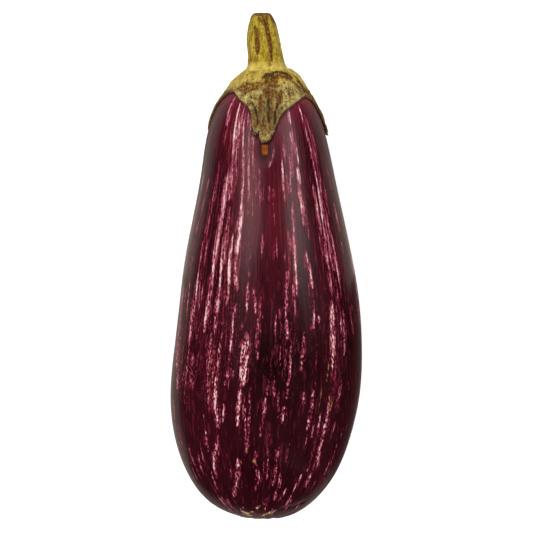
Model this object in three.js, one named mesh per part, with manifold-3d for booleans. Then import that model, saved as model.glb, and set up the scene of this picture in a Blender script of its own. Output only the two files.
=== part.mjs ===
// A striped eggplant lying on its side: the fruit, the calyx that caps its shoulder with five
// sepals, and the cut stem. Millimetres, +Z up. It lies along Y with its stem towards +Y, and it
// rests on a small flat spot under its centre of mass.
import * as THREE from "three";
import { mergeVertices } from "three/addons/utils/BufferGeometryUtils.js";
import Module from "manifold-3d";

const wasm = await Module();
wasm.setup();

// Driving dimensions. Each piece is drawn in the eggplant's own frame: its axis runs along Y from
// the blossom end at 0, angle 0 is its right side at +X and angle 90 is its upper side at +Z.

// The fruit's sections, evenly spaced along its skin from the blossom end to the stem end:
// distance along the axis, half-width, and how far the middle drifts to the right.
const FRUIT_SECTIONS = [
  [0, 0, 0.2], [5.2, 19.3, -2.0], [19.4, 32.5, -2.1], [37.6, 39.6, -1.6], [57.1, 42.6, -0.4],
  [76.9, 42.2, 0.9], [96.6, 40.5, 1.5], [116.1, 37.8, 1.2], [135.5, 33.9, 1.0], [154.9, 30.0, 0.7],
  [174.4, 26.2, 0.1], [191.8, 17.5, 0.3], [198.6, 0, 0.4],
];
const SKIN_LENGTH = 237; // from the blossom end to the stem end, measured over the skin
const FRUIT_HEIGHT_RATIO = 0.97; // it is a little flatter than it is wide
const SHOULDER_RIBS = 5; // soft ribs run down the skin from under the sepals
const SHOULDER_RIB = 0.5; // their height
const SHOULDER_REACH = 55; // how far down the skin they fade out
const SKIN_WAVE = 0.35; // height of the slow unevenness of the whole skin
const SKIN_WAVES = [[3, 7, 0], [2, -11, 1]]; // its waves: how many go round, their twist, their start
const RIB_START = 1.3; // angle at which the ribs of the skin and the ridges of the stem begin
const FRUIT_COLUMNS = 68;
const FRUIT_ROWS = 42;
const NORMAL_STEP = 0.5; // how far beside a point of the skin its slope is measured
const NORMAL_TURN = 0.01; // the same round the skin, in radians
const SMOOTHING_PASSES = 40; // enough for the sections' curve to run exactly through them

// The calyx. Its edge, as [angle, distance over the skin from the fruit's stem end]: five sepals,
// the upper one with a tooth beside its tip, and the low bays between them.
const CALYX_EDGE = [
  [140, 21.6], [132, 23.3], [122, 26.6], [112, 29.8], [106.5, 32.5], [104, 36], [102.7, 39.8],
  [100.4, 43.2], [98.6, 43.4], [96.6, 42.2], [95.8, 45.6], [92.5, 46.8], [89, 46.5], [86.5, 45],
  [84, 42.8], [80.5, 39.3], [78.3, 37.2], [74.6, 34.3], [64.7, 30.8], [52, 27.2], [40, 24.8],
  [31, 23.7], [22.6, 24.8], [13, 28.5], [5, 33.5], [-3, 38.5], [-8, 41.2], [-13, 41.2], [-18, 37],
  [-26, 30], [-34, 25.2], [-42, 23], [-51, 25.8], [-58, 31.8], [-64, 37.2], [-68, 36.6],
  [-73, 31], [-80, 25.5], [-89, 22.8], [-98, 26.5], [-105, 33.5], [-110.5, 40], [-115, 38.8],
  [-121, 32], [-129, 25.5], [-138, 22.8], [-146, 24.4], [-154, 29.5], [-161, 36.5], [-166, 38.8],
  [-172, 36.6], [-179, 31.5], [-187, 27], [-196, 23.8], [-206, 21.8], [-214, 21.2],
];
// How thick it is, as [distance over the skin from the stem end, thickness].
const CALYX_THICKNESS = [
  [0, 5], [8, 5], [11, 3.9], [13.5, 3.1], [16, 2.6], [18, 1.8], [19.5, 1.25], [21, 0.95], [26, 0.8],
];
const CALYX_GAP = 0.3; // between the calyx and the skin that it clasps
const SEPALS = [[92, 1.2], [193, 0.6], [248, 1], [294, 1], [351, 0.8]]; // tip's angle, its lift off the skin
const SEPAL_LIFT = [23, 44]; // distances over the skin between which the sepals rise to that lift
const SEPAL_RIB = 0.3; // height of the rib along the middle of each sepal
const SEPAL_RIB_WIDTH = 3.2;
const SEPAL_RIB_RISE = [14, 22];
const SEPAL_FOLDS = 11; // finer lengthwise folds, counted all round
const SEPAL_FOLD = 0.2; // their height
const SEPAL_FOLD_LEAN = 0.12; // how much they lean, in radians for each millimetre
const SEPAL_FOLD_RISE = [9, 18];
const CROWN_SWELL = 1.1; // the crown bulges on its right side
const CROWN_SWELL_RISE = [5, 9];
const CROWN_SWELL_FALL = [12, 18];
const EDGE_BAND = 0.8; // share of the way out at which the edge begins to thin
const EDGE_THINNING = 0.3; // share of the thickness that is lost there
const CROWN_ROWS = [4, 8, 10.5, 13, 15.5, 17.5, 19.3]; // rings before the sepals part
const SEPAL_ROWS = 5;
const CALYX_COLUMNS = 96;

// The stem's sections: height over its seat on the calyx, half-width, and drift to the right.
const STEM_SECTIONS = [
  [0, 9.8, 0.45], [1.35, 8.7, 0.3], [3.6, 8.1, -0.05], [6.3, 7.7, -0.3], [9, 7.6, -0.7],
  [12.6, 7.4, -1.2], [16.2, 6.9, -1.45], [19.8, 6.2, -1.6], [22.05, 5.4, -1.75], [23.6, 4.8, -1.9],
];
const STEM_SEAT = 202.6; // distance along the axis at which the stem stands on the calyx
const STEM_GAP = 0.3; // between the stem's foot and the calyx
const STEM_BEND = 2.4; // how far the cut end leans towards the upper side
const STEM_RIDGES = 5;
const STEM_RIDGE_SHARE = 0.05; // height of the ridges, as a share of the half-width
const STEM_TWIST = 0.5; // turn of the ridges from foot to cut end, in radians
const CUT_RIM = [24.7, 4.0]; // height and half-width of the rounded rim round the cut
const CUT_HOLLOW = [[24.9, 3.0], [24.5, 1.6]]; // the same for the shallow hollow inside the rim
const CUT_MIDDLE = 24.4;
const STEM_COLUMNS = 40;
const STEM_ROWS = 18;

// The pose: it lies with its stem end slightly low, because its narrow neck weighs little.
const REST_TILT = THREE.MathUtils.degToRad(5.9);
const FLAT_DEPTH = 0.3; // how far the resting spot is pressed into the round of the skin
const CUTTER_SIZE = 200;

// A smooth curve through evenly spaced values, mirrored about both ends: with sign 1 it arrives
// level there, and with sign -1 it runs straight on through its mirror image.
function smoothThrough(values, sign) {
  const last = values.length - 1;
  const at = (list, i) => (i < 0 ? sign * list[-i] : i > last ? sign * list[2 * last - i] : list[i]);
  let control = [...values];
  for (let pass = 0; pass < SMOOTHING_PASSES; pass++) {
    control = values.map((value, i) => (6 * value - at(control, i - 1) - at(control, i + 1)) / 4);
  }
  return (u) => {
    const i = THREE.MathUtils.clamp(Math.floor(u), 0, last - 1);
    const t = u - i;
    const weights = [(1 - t) ** 3, 3 * t ** 3 - 6 * t ** 2 + 4, -3 * t ** 3 + 3 * t ** 2 + 3 * t + 1, t ** 3];
    return weights.reduce((sum, weight, k) => sum + (weight * at(control, i - 1 + k)) / 6, 0);
  };
}

// Straight steps through a list of [position, value].
function stepThrough(list, position) {
  const next = list.findIndex(([place]) => place >= position);
  if (next < 0) return list[list.length - 1][1];
  if (next === 0) return list[0][1];
  const [[from, low], [to, high]] = [list[next - 1], list[next]];
  return THREE.MathUtils.mapLinear(position, from, to, low, high);
}

// A closed surface from rings of equally many points, from one pole to the other. The rings run
// from the stem side to the blossom side with their angle growing, and the faces point outwards.
function closedSurface(firstPole, rings, lastPole) {
  const points = [firstPole, ...rings.flat(), lastPole];
  const count = rings[0].length;
  const at = (ring, column) => 1 + ring * count + (column % count);
  const faces = [];
  for (let column = 0; column < count; column++) {
    faces.push(0, at(0, column + 1), at(0, column));
    for (let ring = 0; ring + 1 < rings.length; ring++) {
      const [a, b] = [at(ring, column), at(ring, column + 1)];
      const [c, d] = [at(ring + 1, column + 1), at(ring + 1, column)];
      const split = points[a].distanceTo(points[c]) < points[b].distanceTo(points[d]);
      faces.push(...(split ? [a, b, c, a, c, d] : [a, b, d, b, c, d]));
    }
    faces.push(at(rings.length - 1, column), at(rings.length - 1, column + 1), points.length - 1);
  }
  const geometry = new THREE.BufferGeometry().setFromPoints(points);
  geometry.setIndex(faces);
  return geometry;
}

const anglesRound = (count) => Array.from({ length: count }, (_, i) => (2 * Math.PI * i) / count);

// The fruit's skin, by distance over it from the stem end and by angle.
const sectionCount = FRUIT_SECTIONS.length - 1;
const axisPlace = smoothThrough(FRUIT_SECTIONS.map(([place]) => place), 1);
const halfWidth = smoothThrough(FRUIT_SECTIONS.map(([, half]) => half), -1);
const drift = smoothThrough(FRUIT_SECTIONS.map(([, , sideways]) => sideways), 1);
const widest = Math.max(...FRUIT_SECTIONS.map(([, half]) => half));

function skinRelief(reach, angle) {
  const fade = Math.exp(-((reach / SHOULDER_REACH) ** 2));
  const shoulder = SHOULDER_RIB * fade * Math.cos(SHOULDER_RIBS * angle + RIB_START);
  const along = reach / SKIN_LENGTH;
  const waves = SKIN_WAVES.map(([round, twist, start]) => Math.sin(round * angle + twist * along + start));
  const wave = (SKIN_WAVE * (waves[0] + waves[1])) / 2;
  return (shoulder + wave) * Math.sin(angle) ** 2; // none at the sides, where the sections are measured
}

function skinPoint(reach, angle) {
  const u = (1 - reach / SKIN_LENGTH) * sectionCount;
  const half = halfWidth(u);
  const radius = half + (skinRelief(reach, angle) * half) / widest;
  return new THREE.Vector3(
    drift(u) + radius * Math.cos(angle),
    axisPlace(u),
    radius * FRUIT_HEIGHT_RATIO * Math.sin(angle),
  );
}

function skinNormal(reach, angle) {
  const place = Math.max(reach, 2 * NORMAL_STEP);
  const down = skinPoint(place + NORMAL_STEP, angle).sub(skinPoint(place - NORMAL_STEP, angle));
  const round = skinPoint(place, angle + NORMAL_TURN).sub(skinPoint(place, angle - NORMAL_TURN));
  return down.cross(round).negate().normalize();
}

function makeFruit() {
  const rings = [];
  for (let row = 1; row < FRUIT_ROWS; row++) {
    const reach = (SKIN_LENGTH * row) / FRUIT_ROWS;
    rings.push(anglesRound(FRUIT_COLUMNS).map((angle) => skinPoint(reach, angle)));
  }
  return closedSurface(skinPoint(0, 0), rings, skinPoint(SKIN_LENGTH, 0));
}

// The calyx: a thick crown under the stem that thins into five sepals lying along the skin.
const rise = (value, [from, to]) => THREE.MathUtils.smoothstep(value, from, to);

function sepalTurn(angle, [tip]) {
  const turn = angle - THREE.MathUtils.degToRad(tip);
  return Math.atan2(Math.sin(turn), Math.cos(turn));
}

function nearestSepal(angle) {
  const turns = SEPALS.map((sepal) => Math.abs(sepalTurn(angle, sepal)));
  return SEPALS[turns.indexOf(Math.min(...turns))];
}

function sepalRelief(reach, angle) {
  const lean = Math.sin(SEPAL_FOLDS * angle + SEPAL_FOLD_LEAN * reach);
  const fold = SEPAL_FOLD * lean * rise(reach, SEPAL_FOLD_RISE);
  const aside = sepalTurn(angle, nearestSepal(angle)) * Math.min(reach, widest / 2);
  const rib = SEPAL_RIB * rise(reach, SEPAL_RIB_RISE) * Math.exp(-((aside / SEPAL_RIB_WIDTH) ** 2));
  return rib + fold;
}

function crownSwell(reach, angle) {
  const collar = rise(reach, CROWN_SWELL_RISE) * (1 - rise(reach, CROWN_SWELL_FALL));
  return CROWN_SWELL * collar * Math.max(0, Math.cos(angle)) ** 2;
}

function calyxPoint(reach, angle, edge, outside) {
  const lift = nearestSepal(angle)[1] * rise(reach, SEPAL_LIFT);
  const nearEdge = rise(reach / edge, [EDGE_BAND, 1]);
  const thickness = stepThrough(CALYX_THICKNESS, reach) * (1 - EDGE_THINNING * nearEdge);
  const relief = (sepalRelief(reach, angle) + crownSwell(reach, angle)) * (1 - nearEdge);
  const height = CALYX_GAP + lift + (outside ? thickness + relief : 0);
  const point = skinPoint(reach, angle).addScaledVector(skinNormal(reach, angle), height);
  point.y = Math.min(point.y, STEM_SEAT - STEM_GAP);
  return point;
}

function makeCalyx() {
  const corners = CALYX_EDGE.map(([degrees, reach]) => {
    const angle = THREE.MathUtils.degToRad(degrees);
    return new THREE.Vector3(reach * Math.cos(angle), reach * Math.sin(angle), 0);
  });
  const edge = new THREE.CatmullRomCurve3(corners.reverse(), true).getSpacedPoints(CALYX_COLUMNS);
  edge.pop();
  const start = Math.atan2(edge[0].y, edge[0].x);
  const columns = edge.map((point, i) => {
    const crownAngle = start + (2 * Math.PI * i) / CALYX_COLUMNS;
    const turn = Math.atan2(point.y, point.x) - crownAngle;
    return { crownAngle, turn: Math.atan2(Math.sin(turn), Math.cos(turn)), reach: point.length() };
  });
  const lastCrownRow = CROWN_ROWS[CROWN_ROWS.length - 1];
  const ring = (row, outside) => columns.map((column) => {
    const share = Math.max(0, row - CROWN_ROWS.length + 1) / SEPAL_ROWS;
    const reach = share > 0 ? THREE.MathUtils.lerp(lastCrownRow, column.reach, share) : CROWN_ROWS[row];
    const turned = column.turn * rise(reach, [CROWN_ROWS[1], column.reach]);
    return calyxPoint(reach, column.crownAngle + turned, column.reach, outside);
  });
  const rows = Array.from({ length: CROWN_ROWS.length + SEPAL_ROWS }, (_, row) => row);
  const outer = rows.map((row) => ring(row, true));
  const inner = rows.reverse().map((row) => ring(row, false));
  return closedSurface(calyxPoint(0, 0, widest, true), [...outer, ...inner], calyxPoint(0, 0, widest, false));
}

// The stem: a short ridged stalk with a flared foot and a shallow hollow in its cut end.
function stemPoint(height, half, sideways, angle) {
  const share = height / CUT_MIDDLE;
  const ridge = 1 + STEM_RIDGE_SHARE * Math.cos(STEM_RIDGES * angle + RIB_START + STEM_TWIST * share);
  return new THREE.Vector3(
    sideways + half * ridge * Math.cos(angle),
    STEM_SEAT + height,
    STEM_BEND * share ** 2 + half * ridge * Math.sin(angle),
  );
}

function makeStem() {
  const sections = STEM_SECTIONS.map(([height, half, sideways]) => new THREE.Vector3(half, height, sideways));
  const side = new THREE.CatmullRomCurve3(sections).getPoints(STEM_ROWS).reverse();
  const topDrift = side[0].z;
  const cut = [...CUT_HOLLOW].reverse().concat([CUT_RIM]);
  const profile = [...cut.map(([height, half]) => new THREE.Vector3(half, height, topDrift)), ...side];
  const rings = profile.map(({ x: half, y: height, z: sideways }) =>
    anglesRound(STEM_COLUMNS).map((angle) => stemPoint(height, half, sideways, angle)));
  const foot = STEM_SECTIONS[0];
  return closedSurface(stemPoint(CUT_MIDDLE, 0, topDrift, 0), rings, stemPoint(foot[0], 0, foot[2], 0));
}

// Laying it down, and pressing the resting spot into the fruit.
const toManifold = (geometry) => new wasm.Manifold(new wasm.Mesh({
  numProp: 3,
  vertProperties: new Float32Array(geometry.attributes.position.array),
  triVerts: new Uint32Array(geometry.index.array),
}));

function fromManifold(solid) {
  const { vertProperties, triVerts } = solid.getMesh();
  const geometry = new THREE.BufferGeometry();
  geometry.setAttribute("position", new THREE.BufferAttribute(vertProperties, 3));
  geometry.setIndex(new THREE.BufferAttribute(triVerts, 1));
  return geometry;
}

function pressFlat(geometry) {
  const box = new THREE.BoxGeometry(CUTTER_SIZE, 2 * CUTTER_SIZE, CUTTER_SIZE);
  box.translate(0, CUTTER_SIZE / 2, -CUTTER_SIZE / 2);
  box.deleteAttribute("normal");
  box.deleteAttribute("uv");
  return fromManifold(toManifold(geometry).subtract(toManifold(mergeVertices(box))));
}

const fruit = makeFruit();
const calyx = makeCalyx();
const stem = makeStem();
for (const piece of [fruit, calyx, stem]) piece.rotateX(-REST_TILT);
fruit.computeBoundingBox();
const lift = -fruit.boundingBox.min.z - FLAT_DEPTH;
for (const piece of [fruit, calyx, stem]) piece.translate(0, 0, lift);

const pieces = [
  ["fruit", pressFlat(fruit), { color: 0x4a0d22, roughness: 0.25, metalness: 0 }],
  ["calyx", calyx, { color: 0x9a8a4c, roughness: 0.75, metalness: 0 }],
  ["stem", stem, { color: 0xa99a45, roughness: 0.7, metalness: 0 }],
];

const eggplant = new THREE.Group();
for (const [name, geometry, finish] of pieces) {
  geometry.computeVertexNormals();
  const mesh = new THREE.Mesh(geometry, new THREE.MeshStandardMaterial(finish));
  mesh.name = name;
  eggplant.add(mesh);
}

// The origin is under the middle of the whole eggplant, on the surface that it lies on.
const middle = new THREE.Box3().setFromObject(eggplant).getCenter(new THREE.Vector3());
eggplant.position.set(-middle.x, -middle.y, 0);

export default eggplant;
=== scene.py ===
"""The looks of a striped eggplant lying on its side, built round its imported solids.

Lengths are in millimetres, in the eggplant's own frame: its axis runs along Y from the blossom end
at 0, angle 0 is its right side at +X and angle 90 is its upper side at +Z. lay_down() turns that
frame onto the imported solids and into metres.
"""

import math

import bpy
import numpy as np
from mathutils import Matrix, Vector, noise


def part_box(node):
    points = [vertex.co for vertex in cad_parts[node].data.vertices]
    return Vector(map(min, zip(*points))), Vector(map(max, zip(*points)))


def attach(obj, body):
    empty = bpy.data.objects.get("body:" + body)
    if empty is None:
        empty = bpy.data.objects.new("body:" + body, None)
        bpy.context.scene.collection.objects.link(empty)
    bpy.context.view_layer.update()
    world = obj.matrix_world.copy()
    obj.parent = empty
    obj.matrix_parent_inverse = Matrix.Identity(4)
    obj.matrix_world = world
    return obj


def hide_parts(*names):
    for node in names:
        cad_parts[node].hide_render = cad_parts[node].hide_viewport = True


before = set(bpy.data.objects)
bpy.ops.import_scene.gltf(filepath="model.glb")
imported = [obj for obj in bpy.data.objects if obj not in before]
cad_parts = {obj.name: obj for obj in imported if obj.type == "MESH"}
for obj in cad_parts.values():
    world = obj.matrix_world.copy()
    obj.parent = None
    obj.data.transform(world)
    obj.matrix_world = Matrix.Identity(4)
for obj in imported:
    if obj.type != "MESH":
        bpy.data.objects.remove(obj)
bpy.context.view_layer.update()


# The fruit: one grown body of spongy flesh in a thin waxy skin. The skin is dark purple and is
# broken by lengthwise streaks, where it made no colour and shows rose, pink or cream. It ends in the
# small puckered scar of the flower.

# Its round sections, evenly spaced over the skin from the blossom end to the stem end: place along
# the axis, half-width and drift sideways.
FRUIT_SECTIONS = [
    (0, 0, 0.2), (5.2, 19.3, -2.0), (19.4, 32.5, -2.1), (37.6, 39.6, -1.6), (57.1, 42.6, -0.4),
    (76.9, 42.2, 0.9), (96.6, 40.5, 1.5), (116.1, 37.8, 1.2), (135.5, 33.9, 1.0), (154.9, 30.0, 0.7),
    (174.4, 26.2, 0.1), (191.8, 17.5, 0.3), (198.6, 0, 0.4),
]
SKIN_LENGTH = 237.0
FRUIT_HEIGHT_RATIO = 0.97
SHOULDER_RIBS = 5
SHOULDER_RIB = 0.5
SHOULDER_REACH = 55.0
SHOULDER_TURN = 1.3
SKIN_WAVE = 0.35
REST_TILT = math.radians(5.9)
FLAT_DEPTH = 0.3
SKIN_COLUMNS = 400
SKIN_ROWS = 240
UPPER_FINENESS = 0.35
MM = 0.001


def smooth_through(values, sign):
    """A smooth curve through evenly spaced values, mirrored about both ends."""
    last = len(values) - 1

    def at(series, i):
        if i < 0:
            return sign * series[-i]
        return sign * series[2 * last - i] if i > last else series[i]

    control = list(values)
    for _ in range(40):
        control = [(6 * v - at(control, i - 1) - at(control, i + 1)) / 4 for i, v in enumerate(values)]
    padded = np.array([at(control, i) for i in range(-1, last + 2)])

    def curve(u):
        i = np.clip(np.floor(u).astype(int), 0, last - 1)
        t = u - i
        weights = ((1 - t) ** 3, 3 * t**3 - 6 * t**2 + 4, -3 * t**3 + 3 * t**2 + 3 * t + 1, t**3)
        return sum(weight * padded[i + k] for k, weight in enumerate(weights)) / 6

    return curve


axis_place = smooth_through([section[0] for section in FRUIT_SECTIONS], 1)
half_width = smooth_through([section[1] for section in FRUIT_SECTIONS], -1)
drift = smooth_through([section[2] for section in FRUIT_SECTIONS], 1)
WIDEST = max(section[1] for section in FRUIT_SECTIONS)


def section_at(reach):
    return (1 - reach / SKIN_LENGTH) * (len(FRUIT_SECTIONS) - 1)


def smoothstep(value, low, high):
    t = np.clip((value - low) / (high - low), 0, 1)
    return t * t * (3 - 2 * t)


def part_way(low, high, share):
    return low + (high - low) * share


def turn_from(angle, middle):
    """The angle from a middle one, from -pi to pi."""
    return np.mod(angle - middle + math.pi, 2 * math.pi) - math.pi


def skin_relief(reach, angle):
    """How far the skin stands off its round section: ribs on the shoulder and slow waves."""
    ribs = SHOULDER_RIB * np.cos(SHOULDER_RIBS * angle + SHOULDER_TURN)
    along = reach / SKIN_LENGTH
    wave = SKIN_WAVE * (np.sin(3 * angle + 7 * along) + np.sin(2 * angle - 11 * along + 1)) / 2
    return (ribs * np.exp(-((reach / SHOULDER_REACH) ** 2)) + wave) * np.sin(angle) ** 2


def skin_point(reach, angle):
    """The skin by distance over it from the stem end and by angle."""
    u = section_at(reach)
    half = half_width(u)
    radius = half + skin_relief(reach, angle) * half / WIDEST
    across = drift(u) + radius * np.cos(angle)
    return np.stack([across, axis_place(u), radius * FRUIT_HEIGHT_RATIO * np.sin(angle)], axis=-1)


def skin_normal(reach, angle):
    place = np.maximum(reach, 1)
    down = skin_point(place + 0.5, angle) - skin_point(place - 0.5, angle)
    around = skin_point(place, angle + 0.01) - skin_point(place, angle - 0.01)
    normal = np.cross(around, down)
    return normal / np.linalg.norm(normal, axis=-1, keepdims=True)


def tilted(points):
    """Points turned about X as the eggplant lies, with its stem end low."""
    x, y, z = points[..., 0], points[..., 1], points[..., 2]
    cos, sin = math.cos(REST_TILT), math.sin(REST_TILT)
    return np.stack([x, y * cos + z * sin, z * cos - y * sin], axis=-1)


def rings_of(along, columns):
    """Rings of points evenly spaced round: each point's value along and its angle."""
    angle = np.linspace(0, 2 * math.pi, columns, endpoint=False)
    return along[:, None] + np.zeros(columns), angle + np.zeros((len(along), 1))


def grown_round(radius, angle, along):
    """Points as if the surface were a round tube, which its fibres run along."""
    return np.stack([radius * np.cos(angle), radius * np.sin(angle), along], axis=-1)


skin_step = SKIN_LENGTH / SKIN_ROWS
reach, angle = rings_of(np.linspace(skin_step, SKIN_LENGTH - skin_step, SKIN_ROWS - 1), SKIN_COLUMNS)
angle = angle + UPPER_FINENESS * np.cos(angle)
bare_skin = tilted(skin_point(reach, angle))
fruit_low, fruit_high = (np.array(corner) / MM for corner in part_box("fruit"))
offset = np.array([
    (fruit_low[0] + fruit_high[0] - bare_skin[..., 0].min() - bare_skin[..., 0].max()) / 2,
    (fruit_low[1] + fruit_high[1] - bare_skin[..., 1].min() - bare_skin[..., 1].max()) / 2,
    -bare_skin[..., 2].min() - FLAT_DEPTH,
])


def lay_down(points):
    """From the eggplant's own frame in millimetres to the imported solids' frame in metres."""
    return (tilted(points) + offset) * MM


def closed_mesh(name, first_pole, rings, last_pole, attributes):
    """A closed mesh from rings of points between two poles, with a value or vector for each point."""
    rows, columns = rings.shape[:2]
    points = lay_down(np.concatenate([[first_pole], rings.reshape(-1, 3), [last_pole]]))
    ring, column = np.meshgrid(np.arange(rows), np.arange(columns), indexing="ij")
    here = 1 + ring * columns + column
    beside = 1 + ring * columns + (column + 1) % columns
    quads = np.stack([here[:-1], beside[:-1], beside[1:], here[1:]], axis=-1).reshape(-1, 4)
    top = np.stack([np.zeros(columns, int), beside[0], here[0]], axis=-1)
    bottom = np.stack([here[-1], beside[-1], np.full(columns, len(points) - 1)], axis=-1)
    mesh = bpy.data.meshes.new(name)
    mesh.from_pydata(points.tolist(), [], top.tolist() + quads.tolist() + bottom.tolist())
    for key, (first, values, last) in attributes.items():
        vector = values.ndim == 3
        kind, field = ("FLOAT_VECTOR", "vector") if vector else ("FLOAT", "value")
        flat = values.reshape(-1, 3) if vector else values.reshape(-1)
        data = np.concatenate([[first], flat, [last]]).astype(np.float32)
        mesh.attributes.new(key, kind, "POINT").data.foreach_set(field, data.reshape(-1))
    mesh.shade_smooth()
    piece = bpy.data.objects.new(name, mesh)
    bpy.context.scene.collection.objects.link(piece)
    return piece


# A stroke narrows to this share at its ends, and has a faint halo of this share and spread.
STROKE_END = 0.3
STROKE_HALO = 0.24
STROKE_HALO_SPREAD = 5


def stroke_field(angle, along, radius, strokes):
    """The strongest of the strokes at each point: its strength on its middle line, 0 away from it.

    A stroke is its strength, its half-width and its route of (angle in degrees, place along).
    """
    field = np.zeros_like(along)
    for strength, width, route in strokes:
        corners = [(math.radians(degrees), place) for degrees, place in route]
        lengths = [abs(b[1] - a[1]) + 0.01 for a, b in zip(corners, corners[1:])]
        done = 0.0
        for (turn, place), (next_turn, next_place), length in zip(corners, corners[1:], lengths):
            aside = turn_from(angle, turn) * radius
            ahead = along - place
            step_aside = (next_turn - turn) * radius
            step_ahead = next_place - place
            share = (aside * step_aside + ahead * step_ahead) / (step_aside**2 + step_ahead**2 + 1e-6)
            share = np.clip(share, 0, 1)
            distance = np.hypot(aside - share * step_aside, ahead - share * step_ahead)
            progress = (done + share * length) / sum(lengths)
            taper = part_way(STROKE_END, 1, np.sqrt(np.sin(math.pi * np.clip(progress, 0.001, 0.999))))
            near = (distance / (width * taper)) ** 2
            mark = part_way(np.exp(-near), np.exp(-near / STROKE_HALO_SPREAD), STROKE_HALO)
            field = np.maximum(field, strength * mark)
            done += length
    return field


# The camera is this far above the axis and over this place along it.
VIEW_DISTANCE = 900.0
VIEW_MIDDLE = 113.6
place_table = np.linspace(0, SKIN_LENGTH, 800)
place_of_reach = axis_place(section_at(place_table))


def reach_at(place):
    """The distance over the skin at a place along the axis."""
    return float(np.interp(-place, -place_of_reach, place_table))


def seen_from_above(turn, place):
    """The angle and reach of the skin that looks, from the camera, to be at this angle and place.

    What is higher is nearer the camera, so it looks further from the middle.
    """
    turn = math.radians(turn)
    looks = skin_point(np.array(reach_at(place)), np.array(turn))
    found = looks
    for _ in range(5):
        nearer = 1 - found[2] / VIEW_DISTANCE
        reach = np.array(reach_at(VIEW_MIDDLE + (looks[1] - VIEW_MIDDLE) * nearer))
        section = section_at(reach)
        turn = math.acos(np.clip((looks[0] * nearer - drift(section)) / half_width(section), -1, 1))
        found = skin_point(reach, np.array(turn))
    return math.degrees(turn), float(reach)


def seen(strokes):
    """Strokes given by angle and place as seen from above, brought onto the skin."""
    return [(s, w, [seen_from_above(turn, place) for turn, place in route]) for s, w, route in strokes]


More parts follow.
